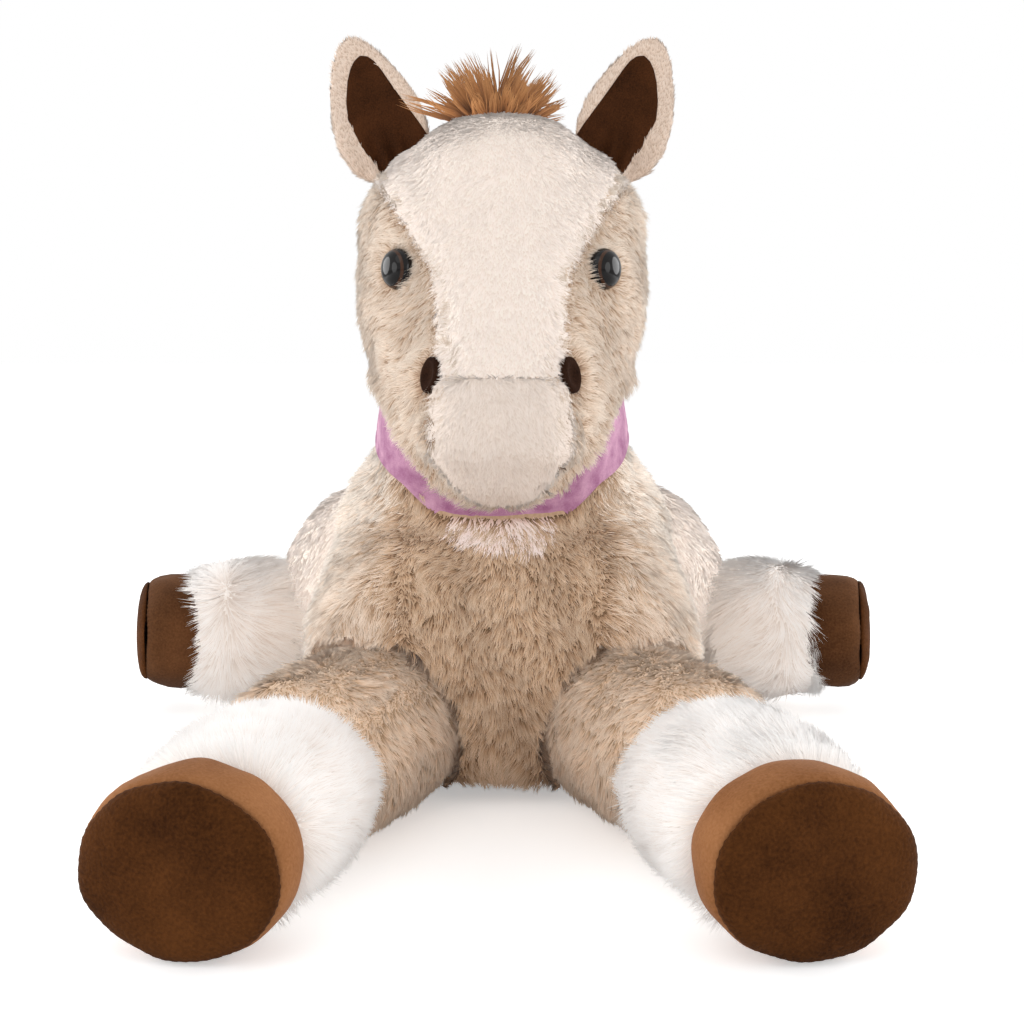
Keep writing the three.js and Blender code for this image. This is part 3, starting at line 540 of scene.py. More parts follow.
def growFur(name, skin, pile, comb, where=None, others=()):
    rng = np.random.default_rng(pile["seed"])
    spots, facing = scatterOn(skin, pile["perSquareMm"], rng)
    if where:
        keep = rng.random(len(spots)) < where(spots, facing)
        spots, facing = spots[keep], facing[keep]
    keep = (facing[:, 2] > -0.75) | (spots[:, 2] > 12 * mm)
    spots, facing = spots[keep], facing[keep]
    keep = notBuried(spots, facing, others, pile.get("buried", 3))
    spots, facing = spots[keep], facing[keep]
    count = len(spots)

    flow = comb(spots, facing)
    flow = unit(flow - (flow * facing).sum(1, keepdims=True) * facing)
    side = np.cross(facing, flow)
    turn = waves(spots, pile["swirlSize"], pile["seed"] + 1) * pile["swirl"]
    turn = (turn + rng.normal(0, pile["scatter"], count))[:, None]
    flow, side = flow * np.cos(turn) + side * np.sin(turn), side * np.cos(turn) - flow * np.sin(turn)
    length = pile["length"] * mm * (1 + pile["lengthSpread"] * rng.uniform(-1, 1, count))
    length *= 1 + 0.18 * waves(spots, pile["swirlSize"] * 0.6, pile["seed"] + 2)
    if "trim" in pile:
        length *= pile["trim"](spots)
    rootLift, tipLift = (np.radians(angle + rng.normal(0, 8, count))[:, None] for angle in pile["lift"])
    start = flow * np.cos(rootLift) + facing * np.sin(rootLift)
    finish = flow * np.cos(tipLift) + facing * np.sin(tipLift)
    finish[:, 2] -= pile["droop"]

    def along(share):
        straight = start * share + (finish - start) * share ** 2 / 2
        return spots + straight * length[:, None]

    # Tufts lean to the tip of the one in the middle of their lock
    middles = rng.choice(count, max(1, int(count / pile["lockCount"])), replace=False)
    tree = KDTree(len(middles))
    for k, i in enumerate(middles):
        tree.insert(spots[i], k)
    tree.balance()
    lock = middles[[tree.find(spot)[1] for spot in spots]]
    tips = along(1)
    pull = pile["lockPull"] * (tips[lock] - tips + 0.25 * (spots - spots[lock]))
    lockShade = rng.normal(0, 1, count)[lock]

    rings = pile["rings"]
    phase = rng.uniform(0, 2 * math.pi, count)
    spin = math.radians(30) + rng.normal(0, 0.3, count)  # a flat side lies outward
    width = pile["width"] * mm * rng.uniform(0.75, 1.25, count)
    verts = np.empty((count, rings * 3 + 1, 3))
    for ring in range(rings + 1):
        share = ring / rings
        middle = along(share) + pull * share ** 1.6
        bend = pile["curl"] * mm * share * np.sin(phase + 4 * share)
        middle = middle + side * bend[:, None]
        if ring == rings:
            verts[:, -1] = middle
            break
        ahead = unit(start + (finish - start) * share)
        across = unit(side - (side * ahead).sum(1, keepdims=True) * ahead)
        above = np.cross(ahead, across)
        radius = (width * (1 - share) ** 0.6)[:, None]
        for corner in range(3):
            angle = (spin + corner * 2 * math.pi / 3)[:, None]
            verts[:, ring * 3 + corner] = middle + radius * (across * np.cos(angle) + above * np.sin(angle))
    verts[:, :, 2] = np.maximum(verts[:, :, 2], 0.2 * mm)
    shading = np.empty_like(verts)
    for ring in range(rings):
        around = verts[:, ring * 3:ring * 3 + 3]
        shading[:, ring * 3:ring * 3 + 3] = unit2(around - around.mean(1, keepdims=True)) * pile.get("round", 0.45)
    shading[:, -1] = 0
    shading = unit2(shading + facing[:, None] + 0.25 * flow[:, None])

    faces, marks = [(0, 2, 1)], [((0, 0), (2, 0.03), (1, 0))]
    for ring in range(rings):
        low, high = ring / rings, (ring + 1) / rings
        for corner in range(3):
            near, far = ring * 3 + corner, ring * 3 + (corner + 1) % 3
            left, right = corner, corner + 1
            if ring == rings - 1:
                faces.append((near, far, rings * 3))
                marks.append(((left, low), (right, low), (left + 0.5, high)))
            else:
                faces += [(near, far, far + 3), (near, far + 3, near + 3)]
                marks += [((left, low), (right, low), (right, high)), ((left, low), (right, high), (left, high))]
    faces, marks = np.array(faces), np.array(marks)
    size = rings * 3 + 1
    allFaces = (faces[None] + size * np.arange(count)[:, None, None]).reshape(-1, 3)
    mesh = bpy.data.meshes.new(name)
    mesh.from_pydata(verts.reshape(-1, 3), [], allFaces)
    shade = 0.5 + 0.16 * lockShade + 0.1 * rng.normal(0, 1, count) + 0.12 * waves(spots, 40, pile["seed"] + 3)
    column = np.floor(np.clip(shade, 0, 0.999) * 64)
    chart = np.empty((count, len(faces), 3, 2))
    chart[..., 0] = (column[:, None, None] + 0.2 + 0.2 * marks[None, ..., 0]) / 64
    chart[..., 1] = 0.01 + 0.98 * marks[None, ..., 1]
    layer = mesh.uv_layers.new(name="OFBake")
    layer.data.foreach_set("uv", chart.astype(np.float32).ravel())
    mesh.polygons.foreach_set("use_smooth", np.ones(len(allFaces), bool))
    # Shaded mostly as the skin under it, so that a pile reads as one soft surface
    normals = mesh.attributes.new("custom_normal", "FLOAT_VECTOR", "POINT")
    normals.data.foreach_set("vector", shading.reshape(-1, 3).astype(np.float32).ravel())
    mesh.update()
    piece = bpy.data.objects.new(name, mesh)
    scene.collection.objects.link(piece)
    print(name, count, "tufts", len(allFaces), "triangles")
    return piece


# ---- the horse's own forms

neckTop = np.array([0, -22, 176]) * mm
neckAxis = np.array([0, -0.454, 0.891])


def smoothStep(value, low, high):
    share = np.clip((value - low) / (high - low), 0, 1)
    return share * share * (3 - 2 * share)


def fromNeck(places):
    return np.linalg.norm(places - neckTop, axis=1) / mm


def upNeck(places):
    return (places - neckTop) @ neckAxis / mm


def bodyDepth(places):
    # Pressed in a little where the ribbon holds it
    return 5.0 + 0.5 * smoothStep(-upNeck(places), 18, 42)


def headDepth(places):
    # Fuller over the crown and at the temples
    out, high = np.abs(places[:, 0]) / mm, places[:, 2] / mm
    crown = smoothStep(high, 280, 308) * smoothStep(-out, -50, -22)
    temple = smoothStep(high, 258, 282) * smoothStep(out, 36, 54) * smoothStep(-places[:, 1] / mm, -25, 0)
    chin = smoothStep(168 - high, 0, 12) * smoothStep(-places[:, 1] / mm, 55, 75)
    return (3.8 - 6.5 * crown - 4.5 * temple + 3 * chin) * smoothStep(fromNeck(places), 66, 76)


cuffDepth = {"front": -1.2, "hind": 0.5}

feet = {
    "front": {"spot": (88.42, -134.05, 34), "ahead": (22.52, -115.83, -1), "length": 111},
    "hind": {"spot": (82, 118, 43), "ahead": (134.98, -28.69, 5), "length": 131},
}


def footFrame(end, side):
    foot = feet[end]
    sign = 1 if side == "left" else -1
    spot = np.array(foot["spot"]) * (sign, 1, 1)
    ahead = np.array(foot["ahead"]) * (sign, 1, 1)
    return spot, ahead / np.linalg.norm(ahead), foot["length"]


def legDepth(side):
    # Fuller at the root, where it is sewn to the torso
    spot, ahead, length = footFrame("front", side)
    return lambda places: 3.5 - 8.0 * smoothStep(-(places / mm - spot) @ ahead, -42, -2)


skins = {}
skins["body"] = softSkin("bodyPlush", ["torso", "neck"], bodyDepth, turns=12, hold=lambda p: fromNeck(p) < 67)
skins["head"] = softSkin("headPlush", ["head", "face_panel", "muzzle_panel"], headDepth, 4, turns=6,
                         hold=lambda p: fromNeck(p) < 70)
for side in ("left", "right"):
    skins[f"frontLeg_{side}"] = softSkin(f"frontLegPlush_{side}", [f"front_leg_{side}"], legDepth(side), 4, cap=2)
    skins[f"haunch_{side}"] = softSkin(f"haunchPlush_{side}", [f"haunch_{side}"], 3)
    skins[f"frontCuff_{side}"] = softSkin(f"frontCuffPlush_{side}", [f"front_cuff_{side}"], cuffDepth["front"], 4,
                                          cap=2)
    skins[f"hindCuff_{side}"] = softSkin(f"hindCuffPlush_{side}", [f"hind_cuff_{side}"], cuffDepth["hind"], 4, cap=2)
print("skins ready")


eye = {
    "spot": (49.4, -67.6, 249), "azimuth": 51, "radius": 9.3, "sunk": 1.6,
    "profile": [(-14, 0), (-14, 0.12), (-13.8, 0.2), (-7.5, 0.2), (-6.5, 0.5), (-5, 0.82), (-2.5, 1.0), (-0.6, 1.02),
                (0.4, 0.99), (1.6, 0.94), (2.8, 0.85), (3.8, 0.73), (4.6, 0.58), (5.1, 0.42), (5.4, 0.22), (5.5, 0)],
    "iris": (0.83, 0.95),
}
mouthCorner = {"spot": (31, -97, 177), "azimuth": 60}
nostril = {
    "spot": (32, -95.1, 201.5), "azimuth": 50, "halfWidth": 4.4, "halfHeight": 6.2, "sunk": -0.6, "rise": 0.2,
    "profile": [(-7, 0), (-7, 0.6), (-6, 1.1), (-3, 1.35), (-0.8, 1.3), (0, 1.1), (-0.6, 0.8), (-1.4, 0.5),
                (-1.8, 0.25), (-1.9, 0)],
}


# ---- sewn panels

def panelShell(name, form, inside, lift, wall, fade=4):
    # The part of a form's skin where inside is above 0, as a shell with sunken edges
    piece = bpy.data.objects.new(name, form.data.copy())
    scene.collection.objects.link(piece)
    activate(piece)
    places = coordinatesOf(piece)
    reach = inside(places)
    for polygon in piece.data.polygons:
        polygon.select = bool(np.mean(reach[list(polygon.vertices)]) < 0)
    bpy.ops.object.mode_set(mode="EDIT")
    bpy.ops.mesh.select_mode(type="FACE")
    bpy.ops.object.mode_set(mode="OBJECT")
    for polygon in piece.data.polygons:
        polygon.select = bool(np.mean(reach[list(polygon.vertices)]) < 0)
    bpy.ops.object.mode_set(mode="EDIT")
    bpy.ops.mesh.delete(type="FACE")
    bpy.ops.object.mode_set(mode="OBJECT")
    places = coordinatesOf(piece)
    used = np.bincount([i for p in piece.data.polygons for key in p.edge_keys for i in key],
                       minlength=len(places))
    counts = {}
    for polygon in piece.data.polygons:
        for key in polygon.edge_keys:
            counts[key] = counts.get(key, 0) + 1
    rim = np.array(sorted({i for key, n in counts.items() if n == 1 for i in key}))
    for _ in range(3):
        here = inside(places[rim])
        slope = np.stack([(inside(places[rim] + step) - here) / 0.2
                          for step in np.eye(3) * 0.2 * mm], axis=1)
        size = np.maximum((slope ** 2).sum(1, keepdims=True), 0.2)
        places[rim] -= np.clip(here[:, None] / size, -3, 3) * slope * mm * 0.8
    setCoordinates(piece, places)
    applyModifier(piece, "SUBSURF", levels=1, render_levels=1)
    places = coordinatesOf(piece)
    raised = lift(places)[:, None] if callable(lift) else lift * smoothStep(inside(places), -1, fade)[:, None]
    setCoordinates(piece, places + normalsOf(piece) * raised * mm)
    applyModifier(piece, "SOLIDIFY", thickness=wall * mm, offset=-1)
    bpy.ops.object.shade_smooth()
    return piece


faceEdge = {"heights": (136, 168, 177, 185, 193, 199, 203, 208, 216, 234, 247, 261, 271, 279, 288, 298, 336),
            "halfWidths": (31, 31, 30.5, 30, 28.5, 24.6, 23.4, 24.6, 27.2, 28, 30.2, 37.8, 43.7, 49, 56, 59, 60),
            "seamHeight": 199, "crownBack": 22}


def acrossFace(places):
    x, z = np.abs(places[:, 0]) / mm, places[:, 2] / mm
    return np.interp(z, faceEdge["heights"], faceEdge["halfWidths"]) - x


def aroundNostrils(places):
    # How far from the edge of a nostril's opening, seen from its front
    far = np.full(len(places), 99.0)
    for sign in (1, -1):
        away = places / mm - np.array(nostril["spot"]) * (sign, 1, 1)
        turn = math.radians(nostril["azimuth"])
        sideways = away @ np.array([math.cos(turn), sign * math.sin(turn), 0])
        far = np.minimum(far, (np.hypot(sideways / nostril["halfWidth"], away[:, 2] / nostril["halfHeight"]) - 1)
                         * nostril["halfWidth"])
    return far


def onFace(places):
    return np.minimum.reduce([acrossFace(places), places[:, 2] / mm - faceEdge["seamHeight"] - 0.1,
                              faceEdge["crownBack"] - places[:, 1] / mm, fromNeck(places) - 76])


def onMuzzle(places):
    return np.minimum.reduce([acrossFace(places), faceEdge["seamHeight"] - 0.1 - places[:, 2] / mm,
                              -45 - places[:, 1] / mm, fromNeck(places) - 76])


def panelLift(places):
    # Low where the pile of the cheeks begins, with a faint groove along the seam
    side = np.minimum(acrossFace(places), faceEdge["crownBack"] - places[:, 1] / mm)
    seam = np.abs(places[:, 2] / mm - faceEdge["seamHeight"])
    byNostril = smoothStep(-aroundNostrils(places), -8, 0)
    return 0.9 + 2.3 * np.maximum(smoothStep(side, 0, 12), byNostril) - 0.5 * np.exp(-(seam / 1.3) ** 2)


panels = {"face": panelShell("facePlush", skins["head"], onFace, panelLift, 4),
          "muzzle": panelShell("muzzlePlush", skins["head"], onMuzzle, panelLift, 4)}
print("panels ready")


# ---- turned forms: hooves, eyes and nostrils

def turnedForm(name, spot, ahead, profile, halfWidth, halfHeight, segments=72):
    # A sphere whose rings are moved to the profile: how far ahead, and the share of the half sizes
    profile = np.array(profile)
    deselectAll()
    bpy.ops.mesh.primitive_uv_sphere_add(segments=segments, ring_count=len(profile) - 1, radius=1)
    piece = bpy.context.object
    piece.name = name
    places = coordinatesOf(piece)
    ring = np.rint(np.arccos(np.clip(-places[:, 2], -1, 1)) / math.pi * (len(profile) - 1)).astype(int)
    angle = np.arctan2(places[:, 1], places[:, 0])
    ahead = np.array(ahead) / np.linalg.norm(ahead)
    across = np.cross([0, 0, 1], ahead)
    across /= np.linalg.norm(across)
    above = np.cross(ahead, across)
    share = profile[ring, 1]
    moved = (np.array(spot) + np.outer(profile[ring, 0], ahead)
             + np.outer(share * halfWidth * np.cos(angle), across)
             + np.outer(share * halfHeight * np.sin(angle), above))
    setCoordinates(piece, moved * mm)
    bpy.ops.object.shade_smooth()
    return piece, angle, profile[ring, 0], share


hoof = {
    "halfWidth": 38.5, "halfHeight": 33.5,  # mm
    "frontBand": [(-27, 0), (-27, 0.4), (-26.5, 0.8), (-25, 0.93), (-22, 0.975), (-17, 1.0), (-11, 1.012),
                  (-5, 1.005), (-2, 0.985), (-0.7, 0.962), (-0.1, 0.942), (0.1, 0.6), (0.1, 0.3), (0.1, 0)],
    "frontSole": [(0.2, 0), (0.2, 0.4), (0.2, 0.8), (0.2, 0.938), (0.7, 0.952), (1.6, 0.962), (3.0, 0.952),
                  (4.6, 0.915), (5.9, 0.85), (6.9, 0.74), (7.6, 0.55), (8.0, 0.32), (8.1, 0)],
    "hindBand": [(-33, 0), (-33, 0.4), (-32, 0.8), (-30, 0.93), (-26, 0.98), (-19, 1.0), (-12, 0.99),
                 (-6, 0.955), (-2.4, 0.905), (-0.9, 0.87), (-0.1, 0.84), (0.1, 0.5), (0.1, 0.25), (0.1, 0)],
    "hindSole": [(0.2, 0), (0.2, 0.4), (0.2, 0.7), (0.2, 0.835), (0.7, 0.85), (1.6, 0.845), (2.8, 0.81),
                 (4.0, 0.74), (5.0, 0.63), (5.8, 0.5), (6.3, 0.35), (6.6, 0.18), (6.7, 0)],
    "puckers": 58, "puckerDepth": 0.22,
}

def buildHoof(end, side):
    spot, ahead, length = footFrame(end, side)
    seam = spot + ahead * length
    for part, slotName, materialName, node in (
            ("Band", "hoof_suede", "hoofSuede" if end == "front" else "hindHoofSuede", f"{end}_{side}_hoof_band"),
            ("Sole", "sole_suede", "soleSuede", f"{end}_{side}_sole")):
        piece, angle, along, share = turnedForm(f"{end}Hoof{part}_{side}", seam, ahead, hoof[end + part],
                                                hoof["halfWidth"], hoof["halfHeight"], 180)
        near = np.exp(-(along / 3.2) ** 2) * (share > 0.5)
        ripple = np.sin(angle * hoof["puckers"] + 1.3 * np.sin(angle * 3)) * near
        places = coordinatesOf(piece)
        places += normalsOf(piece) * ripple[:, None] * hoof["puckerDepth"] * mm
        places += normalsOf(piece) * (waves(places, 26, 11)[:, None] * 0.5 * (share > 0.5)[:, None]) * mm
        setCoordinates(piece, places)
        keepOffFloor(piece)
        dress(piece, f"{end}_leg_{side}", materialName, (node,))


for side in ("left", "right"):
    buildHoof("front", side)
    buildHoof("hind", side)
print("hooves ready")

def facing(azimuth, sign):
    return np.array([sign * math.sin(math.radians(azimuth)), -math.cos(math.radians(azimuth)), 0])


for side, sign in (("left", 1), ("right", -1)):
    piece, angle, along, share = turnedForm(f"eyeDome_{side}", np.array(eye["spot"]) * (sign, 1, 1) - facing(eye["azimuth"], sign) * eye["sunk"],
                                            facing(eye["azimuth"], sign), eye["profile"],
                                            eye["radius"], eye["radius"], 48)
    dress(piece, "head", "eyePupil", (f"eye_{side}",))
    piece.data.materials.append(materials["eyeIris"])
    for polygon in piece.data.polygons:
        middle = np.mean(share[list(polygon.vertices)])
        front = np.mean(along[list(polygon.vertices)]) > -0.2
        polygon.material_index = int(front and eye["iris"][0] < middle < eye["iris"][1])
    direction = facing(nostril["azimuth"], sign)
    piece = turnedForm(f"nostrilFelt_{side}",
                       np.array(nostril["spot"]) * (sign, 1, 1) - direction * nostril["sunk"],
                       direction + (0, 0, nostril["rise"]), nostril["profile"], nostril["halfWidth"], nostril["halfHeight"], 40)[0]
    dress(piece, "head", "nostrilFelt", (f"nostril_{side}",))
    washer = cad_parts[f"eye_washer_{side}"]
    for slot in washer.material_slots:
        slot.material = materials["washerPlastic"]
print("eyes and nostrils ready")


# ---- ears

ear = {
    "root": (55, 4, 306), "tilt": 20, "depth": 1.8, "cup": 5.0, "foldDepth": 1.7,
    "heights": (-12, 0, 12, 27, 36, 45, 50, 53, 54.5),  # of the velvet, up the ear
    "halfWidths": (15, 15.4, 15.9, 14.6, 12.2, 9.0, 6.4, 3.6, 0),
    "middles": (9, 7.2, 4, 0.8, 0.6, 1.4, 2.2, 2.7, 3),  # towards the other ear
}


def earPlaces(places, sign):
    tilt = math.radians(ear["tilt"])
    local = places / mm - np.array(ear["root"]) * (sign, 1, 1)
    across = local @ np.array([math.cos(tilt), 0, -sign * math.sin(tilt)])
    above = local @ np.array([sign * math.sin(tilt), 0, math.cos(tilt)])
    return across, above, -local[:, 1]


def liningEdge(places, sign):
    across, above, front = earPlaces(places, sign)
    half = np.interp(above, ear["heights"], ear["halfWidths"])
    middle = np.interp(above, ear["heights"], ear["middles"]) * -sign
    return np.minimum.reduce([half - np.abs(across - middle), above - ear["heights"][1] + 6, (54.5 - above) * 0.8, front * 2])


def cupEar(piece, sign):
    places = coordinatesOf(piece)
    across, above, front = earPlaces(places, sign)
    hollow = np.clip(1 - (across / 19) ** 2, 0, 1) * smoothStep(above, -12, 4) * smoothStep(-above, -64, -40)
    folds = np.sin(across * 0.75) * smoothStep(-above, -26, 2) * ear["foldDepth"] * np.clip(1 - (across / 15) ** 2, 0, 1)
    share = np.clip(0.5 + front / 8, 0, 1)
    places[:, 1] += (hollow * ear["cup"] + folds) * share * mm
    setCoordinates(piece, places)


linings = {}
for side, sign in (("left", 1), ("right", -1)):
    skin = softSkin(f"earPlush_{side}", [f"ear_{side}", f"ear_lining_{side}"], ear["depth"], 2, turns=5, cap=1)
    lining = panelShell(f"earVelvet_{side}", skin, lambda p: liningEdge(p, sign), 0.9, 1.6, fade=2)
    cupEar(skin, sign)
    cupEar(lining, sign)
    dress(skin, f"ear_{side}", "earSkin", (f"ear_{side}",))
    dress(lining, f"ear_{side}", "earVelvet", (f"ear_lining_{side}",))
    skins[f"ear_{side}"] = skin
    linings[side] = lining
print("ears ready")


# ---- collar ribbon

ribbon = {"rise": 9, "low": -16.5, "high": 8.5, "lowRadius": 62.0, "highRadius": 57.6, "dip": 5, "thickness": 1.5, "ripple": 0.5}


def ribbonRise(ahead):
    # Higher at the sides than under the chin; ahead is 1 at the very front
    share = smoothStep(ahead, 0.64, 1.0)
    return ribbon["rise"] * (1 - share) - ribbon["dip"] * share


def buildRibbon():
    deselectAll()
    bpy.ops.mesh.primitive_torus_add(major_segments=160, minor_segments=24, major_radius=1, minor_radius=0.3)
    piece = bpy.context.object
    piece.name = "collarRibbon"
    count = len(piece.data.vertices)
    turn = np.repeat(np.arange(160), 24) * 2 * math.pi / 160
    step = np.tile(np.arange(24), 160)
    # Outer side down steps 0 to 9, lower edge, inner side up, upper edge
    height = np.interp(step, [0, 9, 12, 21, 24], [1, 0, 0, 1, 1])
    hem = np.exp(-((np.minimum(height, 1 - height) - 0.12) / 0.03) ** 2)
    out = np.interp(step, [0, 9, 10, 11, 12, 21, 22, 23], [1, 1, 0.8, 0.2, 0, 0, 0.2, 0.8])
    out = np.where(step <= 9, out - 0.35 * hem, out)
    edge = np.interp(step, [9, 10.5, 12, 21, 22.5, 24], [0, -0.6, 0, 0, 0.6, 0])
    along = ribbon["low"] + (ribbon["high"] - ribbon["low"]) * height + edge
    radius = ribbon["lowRadius"] + (ribbon["highRadius"] - ribbon["lowRadius"]) * height + out * ribbon["thickness"]
    radius += ribbon["ripple"] * (np.sin(turn * 7 + 2 * height) + 0.6 * np.sin(turn * 13 - 3 * height + 1)) * 0.5
    along = along + ribbonRise(-np.sin(turn))
    across = np.array([1, 0, 0])
    above = np.cross(neckAxis, across)
    places = (neckTop / mm + np.outer(along, neckAxis) + np.outer(radius * np.cos(turn), across)
              + np.outer(radius * np.sin(turn), above))
    setCoordinates(piece, places * mm)
    bpy.ops.object.mode_set(mode="EDIT")
    bpy.ops.mesh.select_all(action="SELECT")
    bpy.ops.mesh.normals_make_consistent(inside=False)
    bpy.ops.object.mode_set(mode="OBJECT")
    bpy.ops.object.shade_smooth()
    dress(piece, "collar", "ribbonVelvet", ("collar_ribbon",))
    return piece


collarRibbon = buildRibbon()
print("ribbon ready")


# ---- caramel hair

forelock = {"spot": (-3, -7, 325), "halfWidth": 19, "halfDepth": 8, "height": 7}


def buildForelockBase():
    deselectAll()
    bpy.ops.mesh.primitive_uv_sphere_add(segments=40, ring_count=20, radius=1)
    piece = bpy.context.object
    piece.name = "forelockSkin"
    size = np.array([forelock["halfWidth"], forelock["halfDepth"], forelock["height"]])
    setCoordinates(piece, (coordinatesOf(piece) * size + forelock["spot"]) * mm)
    bpy.ops.object.shade_smooth()
    return piece


skins["forelock"] = buildForelockBase()
skins["maneHead"] = softSkin("maneHeadSkin", ["mane_head"], 3, 2, cap=0.5)
skins["maneNeck"] = softSkin("maneNeckSkin", ["mane_neck"], 3, 2, cap=0.5)
skins["tail"] = softSkin("tailSkin", ["tail"], 5, 3, cap=1)
dress(skins["forelock"], "head", "caramelSkin", ("forelock",))
dress(skins["maneHead"], "head", "caramelSkin", ("mane_head",))
dress(skins["maneNeck"], "body", "caramelSkin", ("mane_neck",))
dress(skins["tail"], "tail", "caramelSkin", ("tail",))

dress(skins["body"], "body", "beigeSkin", ("torso", "neck"))
# The paler skin under the flanks and back follows their pale pile, partly painted light
skins["body"].data.materials.append(materials["flankSkin"])
for polygon in skins["body"].data.polygons:
    polygon.material_index = int(abs(polygon.center.x) > 92 * mm or polygon.center.y > -34 * mm)
dress(skins["head"], "head", "cheekSkin", ("head",))
dress(panels["face"], "head", "creamSkin", ("face_panel",))
dress(panels["muzzle"], "head", "muzzleSkin", ("muzzle_panel",))
for side in ("left", "right"):
    dress(skins[f"frontLeg_{side}"], f"front_leg_{side}", "legSkin", (f"front_leg_{side}",))
    dress(skins[f"haunch_{side}"], f"hind_leg_{side}", "creamSkin", (f"haunch_{side}",))
    dress(skins[f"frontCuff_{side}"], f"front_leg_{side}", "whiteSkin", (f"front_cuff_{side}",))
    dress(skins[f"hindCuff_{side}"], f"hind_leg_{side}", "whiteSkin", (f"hind_cuff_{side}",))


# ---- how each pile lies

chestSeam = {"side": 45, "width": 6}


def offSeam(places):
    # Beside the two seams that run down the chest, in seam widths
    return (np.abs(places[:, 0]) / mm - chestSeam["side"]) / chestSeam["width"]


def combBody(places, facing):
    flow = unit(places - neckTop)
    flow[:, 2] -= 0.35
    off = offSeam(places)
    flow[:, 0] += np.sign(places[:, 0]) * 2.2 * off * np.exp(-off ** 2) * (places[:, 1] < -50 * mm)
    return flow


def bodyTrim(places):
    onSeam = np.exp(-(offSeam(places) * 2.4) ** 2) * (places[:, 1] < -50 * mm)
    return (1 - 0.5 * onSeam) * floorTrim(places) * nearTrim(places, [trees[f"frontLeg_{side}"] for side in ("left", "right")], 12)


def floorTrim(places):
    return 0.45 + 0.55 * smoothStep(places[:, 2] / mm, 3, 18)


def nearTrim(places, others, reach):
    # Shorter where another stuffed piece lies close
    share = np.ones(len(places))
    for other in others:
        for i, place in enumerate(places):
            found = other.find_nearest(Vector(place), reach * mm)
            if found[0] is not None:
                share[i] = min(share[i], 0.6 + 0.4 * found[3] / (reach * mm))
    return share


def combHead(places, facing):
    sign = np.where(places[:, 0] > 0, 1, -1)
    flow = np.stack([sign * 0.6, np.full(len(places), 0.5), np.full(len(places), -0.8)], axis=1)
    for spot, size in ((nostril["spot"], 16), (mouthCorner["spot"], 9), (eye["spot"], 13)):
        away = places / mm - np.stack([sign * spot[0], np.full(len(places), spot[1]), np.full(len(places), spot[2])], axis=1)
        far = np.linalg.norm(away, axis=1, keepdims=True)
        share = np.exp(-(far / size) ** 2)
        flow = flow * (1 - share) + away / np.maximum(far, 1) * 1.4 * share
    return flow


def byNostril(places):
    return np.exp(-(np.maximum(aroundNostrils(places), 0) / 5) ** 2)


def combPanel(places, facing):
    # Down the nose, and outwards over the panel's own edge
    edge = np.exp(-(acrossFace(places) / 6) ** 2) * (1 - byNostril(places))
    flow = np.stack([places[:, 0] / mm / 40 + np.sign(places[:, 0]) * 0.8 * edge,
                     0.6 * edge - 0.2, np.full(len(places), -1.0)], axis=1)
    return flow


def panelTrim(places):
    seam = 0.5 * np.exp(-((places[:, 2] / mm - faceEdge["seamHeight"]) / 2) ** 2)
    return 1 + seam + 0.45 * np.exp(-(acrossFace(places) / 3.5) ** 2) * (1 - byNostril(places))


def nostrilTrim(places):
    return 1 + 0.35 * np.exp(-(np.maximum(aroundNostrils(places), 0) / 9) ** 2)


def combDown(places, facing):
    return np.tile([0.0, 0.1, -1.0], (len(places), 1)) + facing * 0


def combLeg(end, side, outward=0.0):
    spot, ahead, length = footFrame(end, side)

    def comb(places, facing):
        flow = np.tile(ahead * (1 - outward), (len(places), 1)) + facing * 0.3
        off = places / mm - spot
        flow += outward * unit(off - np.outer(off @ ahead, ahead))
        flow[:, 2] -= 0.3 + 0.6 * outward
        return flow
    return comb


def combMuff(end, side, turnAt, strength):
    # Lies both ways from the middle of the cuff
    spot, ahead, length = footFrame(end, side)

    def comb(places, facing):
        along = (places / mm - spot) @ ahead
        flow = np.outer(np.clip((along - turnAt) / strength, -1, 1), ahead)
        flow += np.cross(ahead, (0, 0, 1)) * 0.3
        flow[:, 2] -= 0.35
        return flow
    return comb


def longInward(side):
    # The hind cuffs' pile is long towards the haunch
    spot, ahead, length = footFrame("hind", side)
    return lambda places: 1 + 0.7 * smoothStep(80 - (places / mm - spot) @ ahead, 0, 30)


def combEar(side):
    sign = 1 if side == "left" else -1
    tilt = math.radians(ear["tilt"])
    return lambda places, facing: np.tile([sign * math.sin(tilt), 0.0, math.cos(tilt)], (len(places), 1))


def combFrom(spot):
    return lambda places, facing: places - np.array(spot) * mm


def combHair(places, facing):
    flow = facing * 0
    flow[:, 0] = np.sign(places[:, 0]) * 0.3
    flow[:, 1] = 0.5
    flow[:, 2] = -0.9
    return flow


